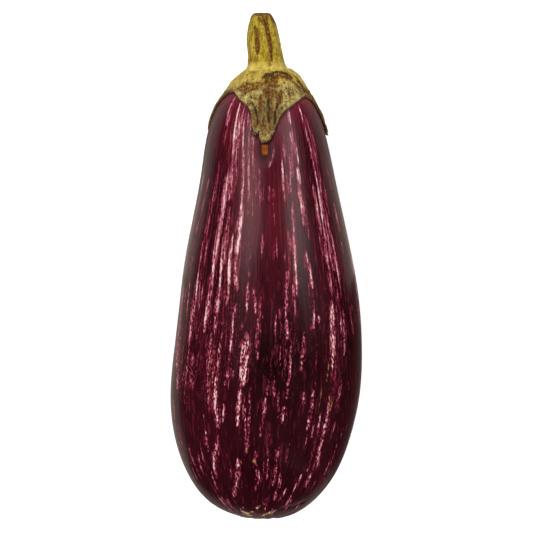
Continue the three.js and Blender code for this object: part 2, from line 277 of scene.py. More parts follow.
# The streaks of the upper side, one by one: strength, half-width, and the route as (angle, distance
# along the axis from the blossom end), as seen from above. The broad faint ones come first, then those
# near the calyx and the brightest, and then the others from left to right. One of them is a painted
# highlight: the thin pale arc round the hollow below the upper sepal's tip.
UPPER_STREAKS_AND_HIGHLIGHT = [
    (0.2, 7.0, [(123, 188), (121, 165), (124, 125), (127, 90), (126, 50)]),
    (0.18, 5.0, [(112, 186), (111, 150), (113, 110), (115, 70)]),
    (0.16, 6.0, [(137, 160), (143, 125), (146, 90), (146, 50)]),
    (0.12, 5.0, [(157, 140), (160, 100), (155, 60)]),
    (0.16, 6.0, [(46, 185), (43, 140), (45, 95), (45, 55)]),
    (0.12, 5.0, [(64, 184), (62, 135), (62, 90)]),
    (0.12, 4.0, [(76, 175), (75, 110), (77, 60)]),
    (0.55, 2.5, [(168, 106), (166, 90), (163, 74), (158, 58)]),
    (0.35, 0.94, [(164, 150), (166, 132)]),
    (0.5, 2.2, [(112, 183), (107, 178), (105.5, 171), (105.5, 164)]),
    (0.45, 1.2, [(115, 181), (112.5, 173), (110, 164)]),
    (0.4, 1.6, [(64, 176), (66.5, 165), (69, 154)]),
    (0.35, 1.3, [(72.5, 173), (74, 160)]),
    (0.6, 0.36, [(99.3, 59.7), (99.1, 47.5), (99, 38), (99.8, 31.7)]),
    (1.05, 1.7, [(103.8, 82.5), (103.9, 77.6), (104.3, 74.2), (104.2, 69.9), (104.0, 65.6), (104.1, 61)]),
    # A painted highlight: the thin pale arc along the rim of the hollow below the upper sepal's tip.
    (0.62, 0.45, [(83.2, 166.4), (84.4, 163.5), (86.1, 160.9), (88.2, 158.9), (90.7, 157.3)]),
    (0.45, 0.94, [(151, 153), (154, 142), (157, 128), (155, 112), (156, 100)]),
    (0.55, 1.52, [(136, 161), (139, 150), (141, 140), (143, 125), (145, 110)]),
    (0.75, 1.56, [(145, 111), (146, 103), (148, 92), (148.5, 80)]),
    (0.5, 0.94, [(148.5, 84), (148, 70), (148.5, 52)]),
    (0.6, 1.56, [(143, 74), (143, 66), (141, 60)]),
    (0.6, 0.85, [(152, 68), (151, 59)]),
    (0.55, 0.94, [(142, 112), (141, 100), (140.5, 92)]),
    (0.8, 1.22, [(137, 190), (136, 184), (133.5, 177)]),
    (0.45, 1, [(133, 178), (134, 168)]),
    (0.85, 1.52, [(127, 155), (127.5, 140), (128.5, 130), (130.5, 117), (132, 105)]),
    (0.9, 1.09, [(132, 106), (133, 96), (135, 84)]),
    (1, 1, [(123.5, 187), (122, 178), (121.3, 168), (121.3, 158)]),
    (0.85, 1.92, [(121.5, 161), (123, 152), (122.5, 143)]),
    (0.85, 1.22, [(121, 140), (122, 128), (123, 116), (124, 108)]),
    (0.95, 1.01, [(124, 110), (125, 101), (126, 93), (125.5, 84)]),
    (0.7, 0.85, [(128.5, 84), (128, 70), (127.5, 52)]),
    (0.5, 0.68, [(125, 72), (124.5, 62)]),
    (0.75, 0.68, [(120.5, 84), (122, 72), (121.5, 62)]),
    (0.95, 1.01, [(122, 64), (122.5, 54), (121, 46), (120, 40)]),
    (0.75, 0.68, [(116.5, 52), (116.5, 43)]),
    (0.65, 0.91, [(116, 187), (117.5, 176), (118, 165), (116.5, 150)]),
    (0.6, 0.88, [(113, 184), (113.5, 176), (112, 166)]),
    (0.85, 1, [(112, 166), (111, 152), (111.5, 140)]),
    (1, 1.22, [(111.2, 142), (111.8, 130), (113, 118)]),
    (0.8, 1, [(113.5, 120), (113, 110), (111.5, 103)]),
    (0.8, 1, [(115, 130), (118, 118), (117.5, 106), (119, 96)]),
    (0.8, 0.68, [(112.5, 96), (113.5, 86), (114.5, 74)]),
    (0.5, 0.7, [(114.5, 74), (114.5, 60)]),
    (0.5, 0.77, [(107, 172), (106.5, 160), (105, 137)]),
    (0.45, 0.68, [(103.5, 168), (101, 155), (100, 146)]),
    (0.4, 0.6, [(97, 158), (96.5, 140)]),
    (0.45, 0.6, [(104, 130), (103, 116)]),
    (0.85, 0.68, [(103.8, 106), (104.5, 93)]),
    (1.0, 1.15, [(104, 84), (104.8, 74), (105, 66), (104.5, 60)]),
    (0.9, 0.85, [(105.5, 58), (106, 50), (106.8, 42)]),
    (0.6, 0.6, [(95.5, 100), (96, 90)]),
    (0.55, 0.68, [(97, 90), (97, 80), (96, 72)]),
    (0.5, 0.5, [(89, 150), (89.5, 143)]),
    (0.75, 0.7, [(89.5, 55), (90, 46)]),
    (0.4, 0.6, [(84, 128), (84, 118)]),
    (0.55, 0.7, [(78, 180), (78.5, 167)]),
    (0.6, 0.6, [(76.5, 162), (77, 150), (76.5, 143)]),
    (0.7, 0.6, [(75, 130), (74.5, 120)]),
    (0.75, 0.5, [(71, 141), (71, 128)]),
    (0.9, 0.77, [(71.3, 128), (71.5, 115), (72.5, 100)]),
    (0.8, 0.77, [(77.5, 112), (79, 100), (79.5, 90)]),
    (0.75, 0.77, [(79, 90), (78, 80)]),
    (0.6, 0.77, [(76, 80), (76, 66), (77, 54)]),
    (0.85, 0.77, [(77.5, 51), (77.8, 43)]),
    (0.65, 0.68, [(74.5, 105), (74, 92)]),
    (0.9, 0.68, [(65, 186), (64.5, 178)]),
    (0.6, 0.7, [(66, 174), (65, 164)]),
    (0.6, 0.7, [(62.5, 170), (61.5, 160)]),
    (0.8, 0.85, [(63, 158), (62, 151)]),
    (0.75, 1.4, [(64.5, 150), (62.5, 142), (62, 132)]),
    (0.5, 0.94, [(59, 140), (59, 126)]),
    (0.7, 1.01, [(62.5, 120), (61, 111), (60.5, 104)]),
    (0.7, 0.85, [(60, 98), (61, 88), (61.5, 82)]),
    (0.65, 0.77, [(60, 58), (60, 48), (61, 40)]),
    (0.7, 0.68, [(68, 84), (68.5, 74), (69, 66)]),
    (0.75, 0.6, [(65.8, 57), (65.6, 51)]),
    (0.9, 0.68, [(49.5, 187), (47.5, 176), (45.5, 165), (43, 150)]),
    (0.55, 0.94, [(45, 182), (40.5, 172), (40, 160), (39.5, 148)]),
    (0.6, 1.17, [(48.5, 150), (47.5, 140), (47.5, 128)]),
    (0.75, 2.03, [(42, 150), (43, 138), (41, 124), (40, 112)]),
    (0.8, 0.94, [(46.5, 128), (45.5, 114), (45.5, 100)]),
    (0.75, 0.85, [(38.5, 134), (36, 122), (37, 106)]),
    (0.9, 1.4, [(46, 98), (46.5, 88), (46.5, 76), (46.5, 68)]),
    (0.6, 0.85, [(39.5, 104), (38.5, 94), (39, 84)]),
    (0.75, 1.01, [(36, 94), (35.5, 84), (36, 74)]),
    (0.5, 0.94, [(25, 160), (24, 148)]),
    (0.55, 0.94, [(24.5, 142), (24, 130)]),
    (0.6, 0.85, [(38, 63), (38.5, 56), (39, 48)]),
    (0.85, 1.01, [(46.5, 53), (47, 44), (48, 34)]),
    (0.75, 0.85, [(48, 34), (46, 27), (43, 23)]),
    (0.7, 0.77, [(48, 20), (46.5, 14)]),
    (0.5, 0.68, [(56, 44), (56.5, 36)]),
    (0.75, 0.85, [(130.5, 40), (130.5, 30)]),
    (0.8, 0.94, [(123, 34), (126, 28), (129, 22)]),
    (0.85, 0.94, [(107.5, 27), (109, 20), (112, 14)]),
    (0.85, 0.77, [(113, 15), (119, 10)]),
    (0.5, 0.77, [(150, 33), (149.5, 24)]),
    (0.45, 0.68, [(140, 30), (143, 20)]),
    (0.6, 0.85, [(93.5, 24), (92, 18), (95, 13)]),
    (0.6, 0.77, [(79, 32), (79.5, 26)]),
    (0.55, 0.68, [(79, 20), (80, 15)]),
    (0.6, 0.68, [(66, 14), (70, 8)]),
    (0.6, 0.68, [(57, 20), (58, 12)]),
    (0.6, 0.5, [(101.8, 51), (101.2, 40), (100.8, 31)]),
]

# The sides and the underside have bundles of the same streaks, and short fine flecks lie between
# the streaks all round. Both are drawn at random.
BUNDLES = 26
BUNDLE_ARC = (182, 370)
BUNDLE_START = (196, 214)
BUNDLE_END = 22
BUNDLE_SPREAD = 3
BUNDLE_STAGGER = 6
BUNDLE_BREAK = (-6, 22)
BUNDLE_WANDER = 2
BUNDLE_SEED = 7
STREAK_LENGTH = (10, 42)
STREAK_LEAN = 0.06
STREAK_HALF_WIDTH = (0.6, 1.8)
STREAK_STRENGTHS = (0.3, 0.5, 0.7, 0.85, 0.95)
FLECKS = 520
FLECK_PLACE = (0.2, 0.97)
FLECK_LENGTH = (3, 13)
FLECK_LEAN = 0.12
FLECK_STRENGTH = (0.3, 0.7)
FLECK_HALF_WIDTH = (0.3, 0.65)
FLECK_SEED = 31
BARE_ARC = (4, 26)
FADE_AT_BLOSSOM = (3, 26)


def random_streaks():
    """Bundles side by side, each a row of knots of one to three streaks, from the stem end down."""
    rng = np.random.default_rng(BUNDLE_SEED)
    streaks = []
    for bundle in range(BUNDLES):
        span = (BUNDLE_ARC[1] - BUNDLE_ARC[0]) / BUNDLES
        middle = BUNDLE_ARC[0] + span * (bundle + rng.uniform(0.1, 0.9))
        place = rng.uniform(*BUNDLE_START)
        while place > BUNDLE_END:
            length = rng.uniform(*STREAK_LENGTH)
            strength = rng.choice(STREAK_STRENGTHS)
            lean = rng.uniform(-STREAK_LEAN, STREAK_LEAN)
            for _ in range(rng.integers(1, 4)):
                turn = middle + rng.uniform(-BUNDLE_SPREAD, BUNDLE_SPREAD)
                far = SKIN_LENGTH - place + rng.uniform(-BUNDLE_STAGGER, BUNDLE_STAGGER)
                route = [(turn + lean * k * length / 3, far + k * length / 3) for k in range(4)]
                streaks.append((strength * rng.uniform(0.7, 1), rng.uniform(*STREAK_HALF_WIDTH), route))
            place -= length + rng.uniform(*BUNDLE_BREAK)
            middle += rng.uniform(-BUNDLE_WANDER, BUNDLE_WANDER)
    return streaks


def random_flecks():
    rng = np.random.default_rng(FLECK_SEED)
    flecks = []
    for _ in range(FLECKS):
        turn = rng.uniform(0, 360)
        far = SKIN_LENGTH * rng.uniform(*FLECK_PLACE)
        length = rng.uniform(*FLECK_LENGTH)
        lean = rng.uniform(-FLECK_LEAN, FLECK_LEAN)
        if BARE_ARC[0] < turn < BARE_ARC[1]:
            continue
        route = [(turn, far), (turn + lean * length, far + length)]
        flecks.append((rng.uniform(*FLECK_STRENGTH), rng.uniform(*FLECK_HALF_WIDTH), route))
    return flecks


radius = half_width(section_at(reach))
streaks_and_highlight = stroke_field(angle, reach, radius, seen(UPPER_STREAKS_AND_HIGHLIGHT))
hidden = stroke_field(angle, reach, radius, random_streaks() + random_flecks())
streaks_and_highlight = np.maximum(streaks_and_highlight, hidden * smoothstep(SKIN_LENGTH - reach, *FADE_AT_BLOSSOM))

# Scratches that healed yellow-brown, and pale specks.
SCRATCHES = [
    (0.75, 0.32, [(49.5, 71), (50.5, 62)]),
    (0.65, 0.28, [(54, 60), (54.5, 47)]),
    (0.55, 0.26, [(56, 56), (55.6, 49)]),
    (0.8, 0.42, [(47.6, 56), (45.8, 51), (44.4, 48.5)]),
    (0.65, 0.28, [(43.8, 54), (44.6, 49)]),
    (0.6, 0.28, [(56.3, 43), (56.8, 36)]),
    (0.75, 0.7, [(100.8, 31.2), (100.6, 29.6)]),
    (0.8, 1.0, [(95.8, 26.6), (94.2, 25)]),
    (0.7, 0.8, [(104, 172), (104.2, 171)]),
]
scratch = stroke_field(angle, reach, radius, seen(SCRATCHES))

# The flower's scar, a beige cracked patch on the blossom end, and the creases beside it, by distance
# over the skin from the stem end.
BLOSSOM_SCAR = [
    (1.0, 0.7, [(116, 216), (111, 218), (106, 218.5)]),
    (0.9, 0.6, [(104, 217), (99, 216)]),
    (1.0, 0.7, [(113, 219.5), (109, 221.5)]),
    (0.7, 0.5, [(120, 219), (117, 220.5)]),
    (0.9, 0.5, [(95, 213.8), (91.5, 211.2)]),
    (0.7, 0.4, [(96, 216), (94, 215.4)]),
    (1.0, 0.6, [(91, 221), (86, 219.8)]),
    (1.0, 0.7, [(84, 219), (78, 216.5)]),
    (0.8, 0.5, [(76, 218), (72, 215)]),
    (0.7, 0.4, [(110, 214), (110, 212)]),
    (0.3, 2.2, [(118, 219), (104, 220), (90, 220), (76, 218)]),
    (1.0, 1.3, [(118, 234), (150, 229.5), (158, 226)]),
    (0.9, 1.1, [(95, 232.5), (104, 228.5)]),
    (0.8, 1.2, [(250, 234), (262, 230)]),
    (0.8, 1.0, [(20, 234.5), (350, 231)]),
]
BLOSSOM_CREASE = [
    (0.9, 1.6, [(62, 231), (48, 226), (36, 219)]),
    (0.7, 1.4, [(66, 214), (50, 213), (38, 210)]),
]
scar = stroke_field(angle, reach, radius, BLOSSOM_SCAR)
crease = stroke_field(angle, reach, radius, BLOSSOM_CREASE)

# Broad shades of the skin, as (angle, distance along the axis, half-length, half-width, depth): a
# positive depth is a redder, clearer patch and a negative one is near black. The near-black patches in
# the middle of the lower half and on the right flank are painted dark reflection, one more darkens the
# blossom end, and the rest are the skin's own tone.
TONES_AND_PAINTED_SHADES = [
    (33, 78, 40, 6, -0.7), (80, 26, 18, 22, -0.5), (88, 134, 24, 8, 0.45), (98, 96, 12, 7, 0.4),
    (84, 72, 20, 14, -1.1), (60, 74, 30, 9, -0.25), (128, 172, 14, 7, 0.5), (150, 130, 50, 8, -0.3),
    (52, 160, 26, 4, -0.2), (108, 150, 34, 7, 0.8), (74, 148, 36, 9, 0.35), (250, 110, 45, 14, 0.5),
    (300, 80, 30, 16, -0.5), (200, 90, 40, 12, -0.3), (340, 140, 40, 9, 0.3),
]
tone_and_painted_shade = np.zeros_like(reach)
for turn, place, half_length, half_breadth, depth in TONES_AND_PAINTED_SHADES:
    aside = turn_from(angle, math.radians(turn)) * radius
    ahead = reach - reach_at(place)
    tone_and_painted_shade += depth * np.exp(-((aside / half_breadth) ** 2) - (ahead / half_length) ** 2)

# The edge of the calyx, which the skin is paler and redder under: (angle, distance over the skin
# from the fruit's stem end).
CALYX_EDGE = [
    (140, 21.6), (132, 23.3), (122, 26.6), (112, 29.8), (106.5, 32.5), (104, 36), (102.7, 39.8),
    (100.4, 43.2), (98.6, 43.4), (96.6, 42.2), (95.8, 45.6), (92.5, 46.8), (89, 46.5), (86.5, 45),
    (84, 42.8), (80.5, 39.3), (78.3, 37.2), (74.6, 34.3), (64.7, 30.8), (52, 27.2), (40, 24.8),
    (31, 23.7), (22.6, 24.8), (13, 28.5), (5, 33.5), (-3, 38.5), (-8, 41.2), (-13, 41.2), (-18, 37),
    (-26, 30), (-34, 25.2), (-42, 23), (-51, 25.8), (-58, 31.8), (-64, 37.2), (-68, 36.6),
    (-73, 31), (-80, 25.5), (-89, 22.8), (-98, 26.5), (-105, 33.5), (-110.5, 40), (-115, 38.8),
    (-121, 32), (-129, 25.5), (-138, 22.8), (-146, 24.4), (-154, 29.5), (-161, 36.5), (-166, 38.8),
    (-172, 36.6), (-179, 31.5), (-187, 27), (-196, 23.8), (-206, 21.8), (-214, 21.2),
]
edge_turns, edge_reaches = np.array([(turn % 360, far) for turn, far in CALYX_EDGE]).T
order = np.argsort(edge_turns)
edge_turns, edge_reaches = edge_turns[order], edge_reaches[order]
edge_near = np.interp(np.degrees(angle), edge_turns, edge_reaches, period=360)
past_edge = np.maximum(reach - edge_near, 0)
BLUSH_LENGTH = 5.0
blush = np.exp(-past_edge / BLUSH_LENGTH)

# Painted shadow lies along the calyx's edge, which stands off the skin, and most at the sepals' tips.
PAINTED_SHADOW_WIDTH = 0.8
PAINTED_SHADOW_DEPTH = 0.55
PAINTED_SHADOW_DEPTH_AT_TIPS = 0.9
TIPS_REACH = (34, 42)
edge_slope = np.gradient(edge_reaches, np.radians(edge_turns))
edge_slope = np.interp(np.degrees(angle), edge_turns, edge_slope, period=360) / np.maximum(radius, 5)
from_edge = past_edge / np.sqrt(1 + edge_slope**2)
painted_shadow = np.exp(-((from_edge / PAINTED_SHADOW_WIDTH) ** 2))
painted_shadow = painted_shadow * part_way(PAINTED_SHADOW_DEPTH, PAINTED_SHADOW_DEPTH_AT_TIPS, smoothstep(reach, *TIPS_REACH))

# The small hollow below the upper sepal's tip, where the corky tab lies, and the painted shade in its
# middle. The hollow reaches further on the left, where its wall is a long slope.
TAB_ANGLE = math.radians(91.8)
TAB_REACH = 49.4
HOLLOW_DEPTH = 0.5
HOLLOW_RIGHT = 3.2
HOLLOW_LEFT = 6.6
HOLLOW_HALF_LENGTH = 5.8
HOLLOW_STEEPNESS_LEFT = 2.4
HOLLOW_STEEPNESS_RIGHT = 3.8
PIT_HALF_WIDTH = 3.8
PIT_HALF_LENGTH = 5.6
PIT_STEEPNESS = 2.5
PIT_PAINTED_SHADE = 0.96
# The shadow right under the tip: strength, half-width and route of (angle, reach).
UNDER_TIP = [
    (1.0, 1.0, [(83.5, 42.5), (85.5, 44.8), (88.6, 46.3), (92, 46.6), (96, 46.4)]),
    (0.9, 0.8, [(104, 40.5), (101.5, 43), (98, 45)]),
]


def hollow_depth(reach, angle):
    aside = (angle - TAB_ANGLE) * half_width(section_at(reach))
    aside = aside / np.where(aside < 0, HOLLOW_RIGHT, HOLLOW_LEFT)
    ahead = (reach - TAB_REACH) / HOLLOW_HALF_LENGTH
    on_right = smoothstep(-aside + 0.8 * ahead, -0.4, 0.8)
    steepness = part_way(HOLLOW_STEEPNESS_LEFT, HOLLOW_STEEPNESS_RIGHT, on_right)
    return HOLLOW_DEPTH * np.exp(-(np.hypot(aside, ahead) ** steepness))


# Painted shade round the tab, which joins the painted shadow along the calyx's edge.
pit_aside = (angle - TAB_ANGLE) * radius / PIT_HALF_WIDTH
painted_pit_shade = np.exp(-(np.hypot(pit_aside, (reach - TAB_REACH) / PIT_HALF_LENGTH) ** PIT_STEEPNESS))
painted_shadow = np.maximum(np.maximum(painted_shadow, PIT_PAINTED_SHADE * painted_pit_shade), stroke_field(angle, reach, radius, UNDER_TIP))

# The relief of the skin: the hollow, the dent and folds of the blossom end, and what its marks
# stand up or sink in.
BLOSSOM_DEPTH = 1.1
BLOSSOM_WIDTH = 6.0
PUCKER_FOLDS = 9
PUCKER_HEIGHT = 0.2
PUCKER_PLACE = 6
PUCKER_WIDTH = 4
CREASE_DEPTH = 0.55
SCAR_HEIGHT = 0.22
SCRATCH_DEPTH = 0.12
from_blossom = SKIN_LENGTH - reach
pucker = np.cos(PUCKER_FOLDS * angle) * np.exp(-(((from_blossom - PUCKER_PLACE) / PUCKER_WIDTH) ** 2))
dent = BLOSSOM_DEPTH * np.exp(-((from_blossom / BLOSSOM_WIDTH) ** 2))
relief = PUCKER_HEIGHT * pucker - dent - hollow_depth(reach, angle)
relief += SCAR_HEIGHT * scar - CREASE_DEPTH * crease - SCRATCH_DEPTH * scratch
skin = skin_point(reach, angle) + skin_normal(reach, angle) * relief[..., None]

# Where it rests, the skin is pressed flat against the surface.
flat = tilted(skin) + offset
flat_lift = np.maximum(-flat[..., 2], 0)
skin[..., 2] += flat_lift * math.cos(REST_TILT)
skin[..., 1] -= flat_lift * math.sin(REST_TILT)

growth = grown_round(WIDEST, angle, reach)
first_pole = skin_point(np.array(0.0), np.array(0.0))
last_pole = skin_point(np.array(SKIN_LENGTH), np.array(0.0)) + np.array([0, BLOSSOM_DEPTH, 0])
fruit = closed_mesh("fruit_skin", first_pole, skin, last_pole, {
    "growth": ((0, 0, 0), growth, (0, 0, SKIN_LENGTH)),
    "streaks_and_highlight": (0, streaks_and_highlight, 0),
    "tone_and_painted_shade": (0, tone_and_painted_shade, 0),
    "blush": (1, blush, 0),
    "scratch": (0, scratch, 0),
    "painted_shadow": (0, painted_shadow, 0),
    "scar": (0, scar, 1),
})


def linear(red, green, blue):
    """A colour of 0 to 255 as the shader's linear red, green, blue and alpha."""
    channels = [c / 255 for c in (red, green, blue)]
    return [c / 12.92 if c <= 0.04045 else ((c + 0.055) / 1.055) ** 2.4 for c in channels] + [1]


def feed(tree, node, inputs):
    """Puts values on a node's inputs, or links the sockets that feed them, by name or number."""
    for key, value in dict(inputs).items():
        if isinstance(value, bpy.types.NodeSocket):
            tree.links.new(value, node.inputs[key])
        else:
            node.inputs[key].default_value = value


def add(tree, kind, inputs=(), **settings):
    """A node of a kind with its settings and its inputs."""
    node = tree.nodes.new(kind)
    for key, value in settings.items():
        setattr(node, key, value)
    feed(tree, node, inputs)
    return node


def math_node(tree, operation, *values):
    return add(tree, "ShaderNodeMath", enumerate(values), operation=operation).outputs[0]


def ramp(tree, value, *stops):
    """A colour ramp with stops of position, red, green and blue."""
    node = add(tree, "ShaderNodeValToRGB", {"Fac": value})
    elements = node.color_ramp.elements
    while len(elements) < len(stops):
        elements.new(0.5)
    for element, (position, *colour) in zip(elements, stops):
        element.position = position
        element.color = linear(*colour)
    return node.outputs["Color"]


def mix(tree, share, first, second, blend_type="MIX"):
    """The first colour with a share of the second laid over it."""
    return add(tree, "ShaderNodeMix", {
        0: share, 6: first, 7: second,
    }, data_type="RGBA", blend_type=blend_type, clamp_factor=True).outputs[2]


def steps(tree, value, low, high):
    """From 0 at the low value to 1 at the high one, smoothly."""
    inputs = {"Value": value, "From Min": low, "From Max": high}
    return add(tree, "ShaderNodeMapRange", inputs, interpolation_type="SMOOTHSTEP").outputs["Result"]


def attribute(tree, name, output="Fac"):
    return add(tree, "ShaderNodeAttribute", attribute_name=name).outputs[output]


def new_group(name, kind, inputs, output):
    """A node group, the sockets that its inputs give inside it, and the socket that takes its output.

    Inputs and output are given as {name: kind of socket}.
    """
    tree = bpy.data.node_groups.new(name, kind)
    for side, sockets in (("INPUT", inputs), ("OUTPUT", output)):
        for socket, socket_kind in sockets.items():
            tree.interface.new_socket(socket, in_out=side, socket_type="NodeSocket" + socket_kind)
    return tree, tree.nodes.new("NodeGroupInput").outputs, tree.nodes.new("NodeGroupOutput").inputs[0]


# The middle part of the noise, which the fibres stretch from 0 to 1.
FIBRE_RANGE = (0.28, 0.72)


def fibre_group():
    """Noise drawn out along the growth, with its grain's size across and along in millimetres."""
    tree, given, result = new_group("growth fibres", "ShaderNodeTree", {
        "Growth": "Vector", "Across": "Float", "Along": "Float", "Detail": "Float", "Seed": "Float",
    }, {"Fibre": "Float"})
    across = math_node(tree, "DIVIDE", 1.0, given["Across"])
    along = math_node(tree, "DIVIDE", 1.0, given["Along"])
    scale = add(tree, "ShaderNodeCombineXYZ", {"X": across, "Y": across, "Z": along}).outputs[0]
    scaled = add(tree, "ShaderNodeVectorMath", {0: given["Growth"], 1: scale}, operation="MULTIPLY")
    seed = add(tree, "ShaderNodeCombineXYZ", {"X": given["Seed"], "Z": given["Seed"]}).outputs[0]
    moved = add(tree, "ShaderNodeVectorMath", {0: scaled.outputs[0], 1: seed}, operation="ADD")
    grain = add(tree, "ShaderNodeTexNoise", {
        "Vector": moved.outputs[0], "Scale": 1.0, "Detail": given["Detail"], "Roughness": 0.6,
    })
    spread = add(tree, "ShaderNodeMapRange", {
        "Value": grain.outputs["Fac"], "From Min": FIBRE_RANGE[0], "From Max": FIBRE_RANGE[1],
    })
    tree.links.new(spread.outputs["Result"], result)
    return tree


def ragged_group():
    """A mark from 0 to 1 whose edge and inside are broken up by noise round 0."""
    tree, given, result = new_group("ragged mark", "ShaderNodeTree", {
        "Mark": "Float", "Noise": "Float",
    }, {"Ragged": "Float"})
    broken = math_node(tree, "MULTIPLY", given["Noise"], math_node(tree, "POWER", given["Mark"], 0.5))
    tree.links.new(math_node(tree, "ADD", given["Mark"], broken), result)
    return tree


fibre_tree = fibre_group()
ragged_tree = ragged_group()


def fibres(tree, growth, across, along, detail, seed):
    return add(tree, "ShaderNodeGroup", {
        "Growth": growth, "Across": across, "Along": along, "Detail": detail, "Seed": seed,
    }, node_tree=fibre_tree).outputs["Fibre"]


def added(tree, *parts):
    """The sum of values, each a socket or (socket, centre, amount), which is amount x (it - centre)."""
    total = None
    for part in parts:
        if isinstance(part, tuple):
            value, centre, amount = part
            part = math_node(tree, "MULTIPLY_ADD", value, amount, -centre * amount)
        total = part if total is None else math_node(tree, "ADD", total, part)
    return total


def times(tree, *values):
    total = values[0]
    for value in values[1:]:
        total = math_node(tree, "MULTIPLY", total, value)
    return total


def blend(tree, share, first, second):
    """The value between two others by a share from 0 to 1."""
    return math_node(tree, "MULTIPLY_ADD", share, math_node(tree, "SUBTRACT", second, first), first)


def ragged(tree, name, *noises):
    """A marked attribute broken up by noises, each given with its weight."""
    broken = added(tree, *((noise, 0.5, weight) for noise, weight in noises))
    return add(tree, "ShaderNodeGroup", {
        "Mark": attribute(tree, name), "Noise": broken,
    }, node_tree=ragged_tree).outputs["Ragged"]


def surface(name):
    """A new material with its tree and its shader."""
    material = bpy.data.materials.new(name)
    material.use_nodes = True
    tree = material.node_tree
    return material, tree, tree.nodes["Principled BSDF"]


def bump(tree, height, distance):
    """The normal of a surface with a relief, whose height of 1 stands this far up in metres."""
    inputs = {"Height": height, "Distance": distance, "Strength": 1.0}
    return add(tree, "ShaderNodeBump", inputs).outputs["Normal"]


def striped_skin():
    material, tree, shader = surface("striped_skin")
    growth = attribute(tree, "growth", "Vector")
    streaks_and_highlight = attribute(tree, "streaks_and_highlight")
    strands = fibres(tree, growth, 1.2, 30.0, 1.0, 3.1)
    shreds = fibres(tree, growth, 1.0, 6.5, 3.0, 11.7)
    grain = fibres(tree, growth, 0.7, 1.4, 1.0, 5.3)
    dashes = fibres(tree, growth, 1.0, 5.5, 2.0, 21.9)
    patches = fibres(tree, growth, 5.0, 24.0, 2.0, 8.4)
    reach = add(tree, "ShaderNodeSeparateXYZ", {"Vector": growth}).outputs["Z"]
    lower = steps(tree, reach, 90.0, 150.0)

    # The dark skin, with its tones and painted shade, fine lines, blush under the calyx and short dashes.
    tone_and_painted_shade = added(tree, attribute(tree, "tone_and_painted_shade"), (patches, 0.5, 0.5))
    base = ramp(
        tree, math_node(tree, "MULTIPLY_ADD", tone_and_painted_shade, 0.5, 0.5),
        (0.0, 16, 0, 1), (0.45, 37, 3, 10), (0.7, 52, 2, 12), (1.0, 76, 4, 18),
    )
    less_lined = math_node(tree, "MULTIPLY_ADD", lower, -0.28, 0.3)
    lined = times(tree, steps(tree, strands, 0.55, 0.95), less_lined)
    base = mix(tree, lined, base, linear(104, 24, 42))
    blush = times(tree, attribute(tree, "blush"), math_node(tree, "MULTIPLY_ADD", strands, 0.4, 0.5))
    base = mix(tree, blush, base, linear(124, 24, 48))
    dashed = times(tree, steps(tree, dashes, 0.6, 0.95), math_node(tree, "MULTIPLY_ADD", patches, 0.7, 0.3))
    base = mix(tree, dashed, base, linear(82, 14, 28))

    # The streaks and the painted highlight among them, broken into strands and shreds near the stem and
    # into finer grain further down.
    near_stem = added(tree, (strands, 0.5, 0.95), (shreds, 0.5, 0.95), (grain, 0.5, 0.6))
    near_blossom = added(tree, (strands, 0.5, 0.6), (shreds, 0.5, 1.3), (grain, 0.5, 1.7))
    broken = times(tree, blend(tree, lower, near_stem, near_blossom), math_node(tree, "POWER", streaks_and_highlight, 0.5))
    paleness = added(tree, (streaks_and_highlight, 0.0, 0.86), broken, (shreds, 0.5, 0.1))
    paleness = math_node(tree, "SUBTRACT", paleness, 0.1)
    paleness = times(tree, paleness, math_node(tree, "MULTIPLY_ADD", lower, -0.16, 1.02))
    painted = ramp(
        tree, paleness,
        (0.06, 58, 5, 17), (0.2, 82, 11, 29), (0.36, 106, 28, 46), (0.54, 131, 59, 74),
        (0.76, 159, 106, 115), (1.0, 193, 166, 159),
    )
    colour = mix(tree, steps(tree, paleness, 0.05, 0.26), base, painted)

    # The scratches, the flower's scar, and the painted shadow along the calyx's edge.
    scratched = times(tree, attribute(tree, "scratch"), math_node(tree, "ADD", grain, 0.5))
    colour = mix(tree, steps(tree, scratched, 0.25, 0.9), colour, linear(140, 96, 62))
    scarred = ragged(tree, "scar", (grain, 1.5), (shreds, 0.9))
    cracked = ramp(tree, scarred, (0.3, 84, 26, 34), (0.6, 136, 82, 66), (0.95, 196, 164, 124))
    colour = mix(tree, steps(tree, scarred, 0.25, 0.6), colour, cracked)
    painted_shadow = attribute(tree, "painted_shadow")
    # Painted shadow: the skin is darkened towards near black along the calyx's edge, under the upper
    # sepal's tip and round the tab, and it is made rougher and loses its coat there.
    colour = mix(tree, math_node(tree, "MULTIPLY", painted_shadow, 0.92), colour, linear(14, 2, 5))

    scar = attribute(tree, "scar")
    feed(tree, shader, {
        "Base Color": colour,
        "Roughness": added(tree, (patches, -2.9, 0.07), (scar, 0.0, 0.35), (painted_shadow, 0.0, 0.55)),
        "IOR": 1.4,
        "Coat Weight": math_node(tree, "MULTIPLY_ADD", painted_shadow, -0.12, 0.12),
        "Coat Roughness": 0.14,
        "Normal": bump(tree, added(tree, strands, shreds, (grain, 0.0, 0.5)), 0.00002),
    })
    return material


fruit.data.materials.append(striped_skin())
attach(fruit, "root")
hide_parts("fruit")


# The calyx: a leathery cap that grew with the stem, thick and pale where it carries it, and parted
# into five pointed sepals that lie along the skin. Old sepals turn corky: they crack brown round the
# crown, and their tips go warty.

# Its thickness, as (distance over the skin from the stem's middle, thickness).
CALYX_THICKNESS = [
    (0, 5), (8, 5), (11, 3.9), (13.5, 3.1), (16, 2.6), (18, 1.8), (19.5, 1.25), (21, 0.95), (26, 0.8),
]
CALYX_GAP = 0.3
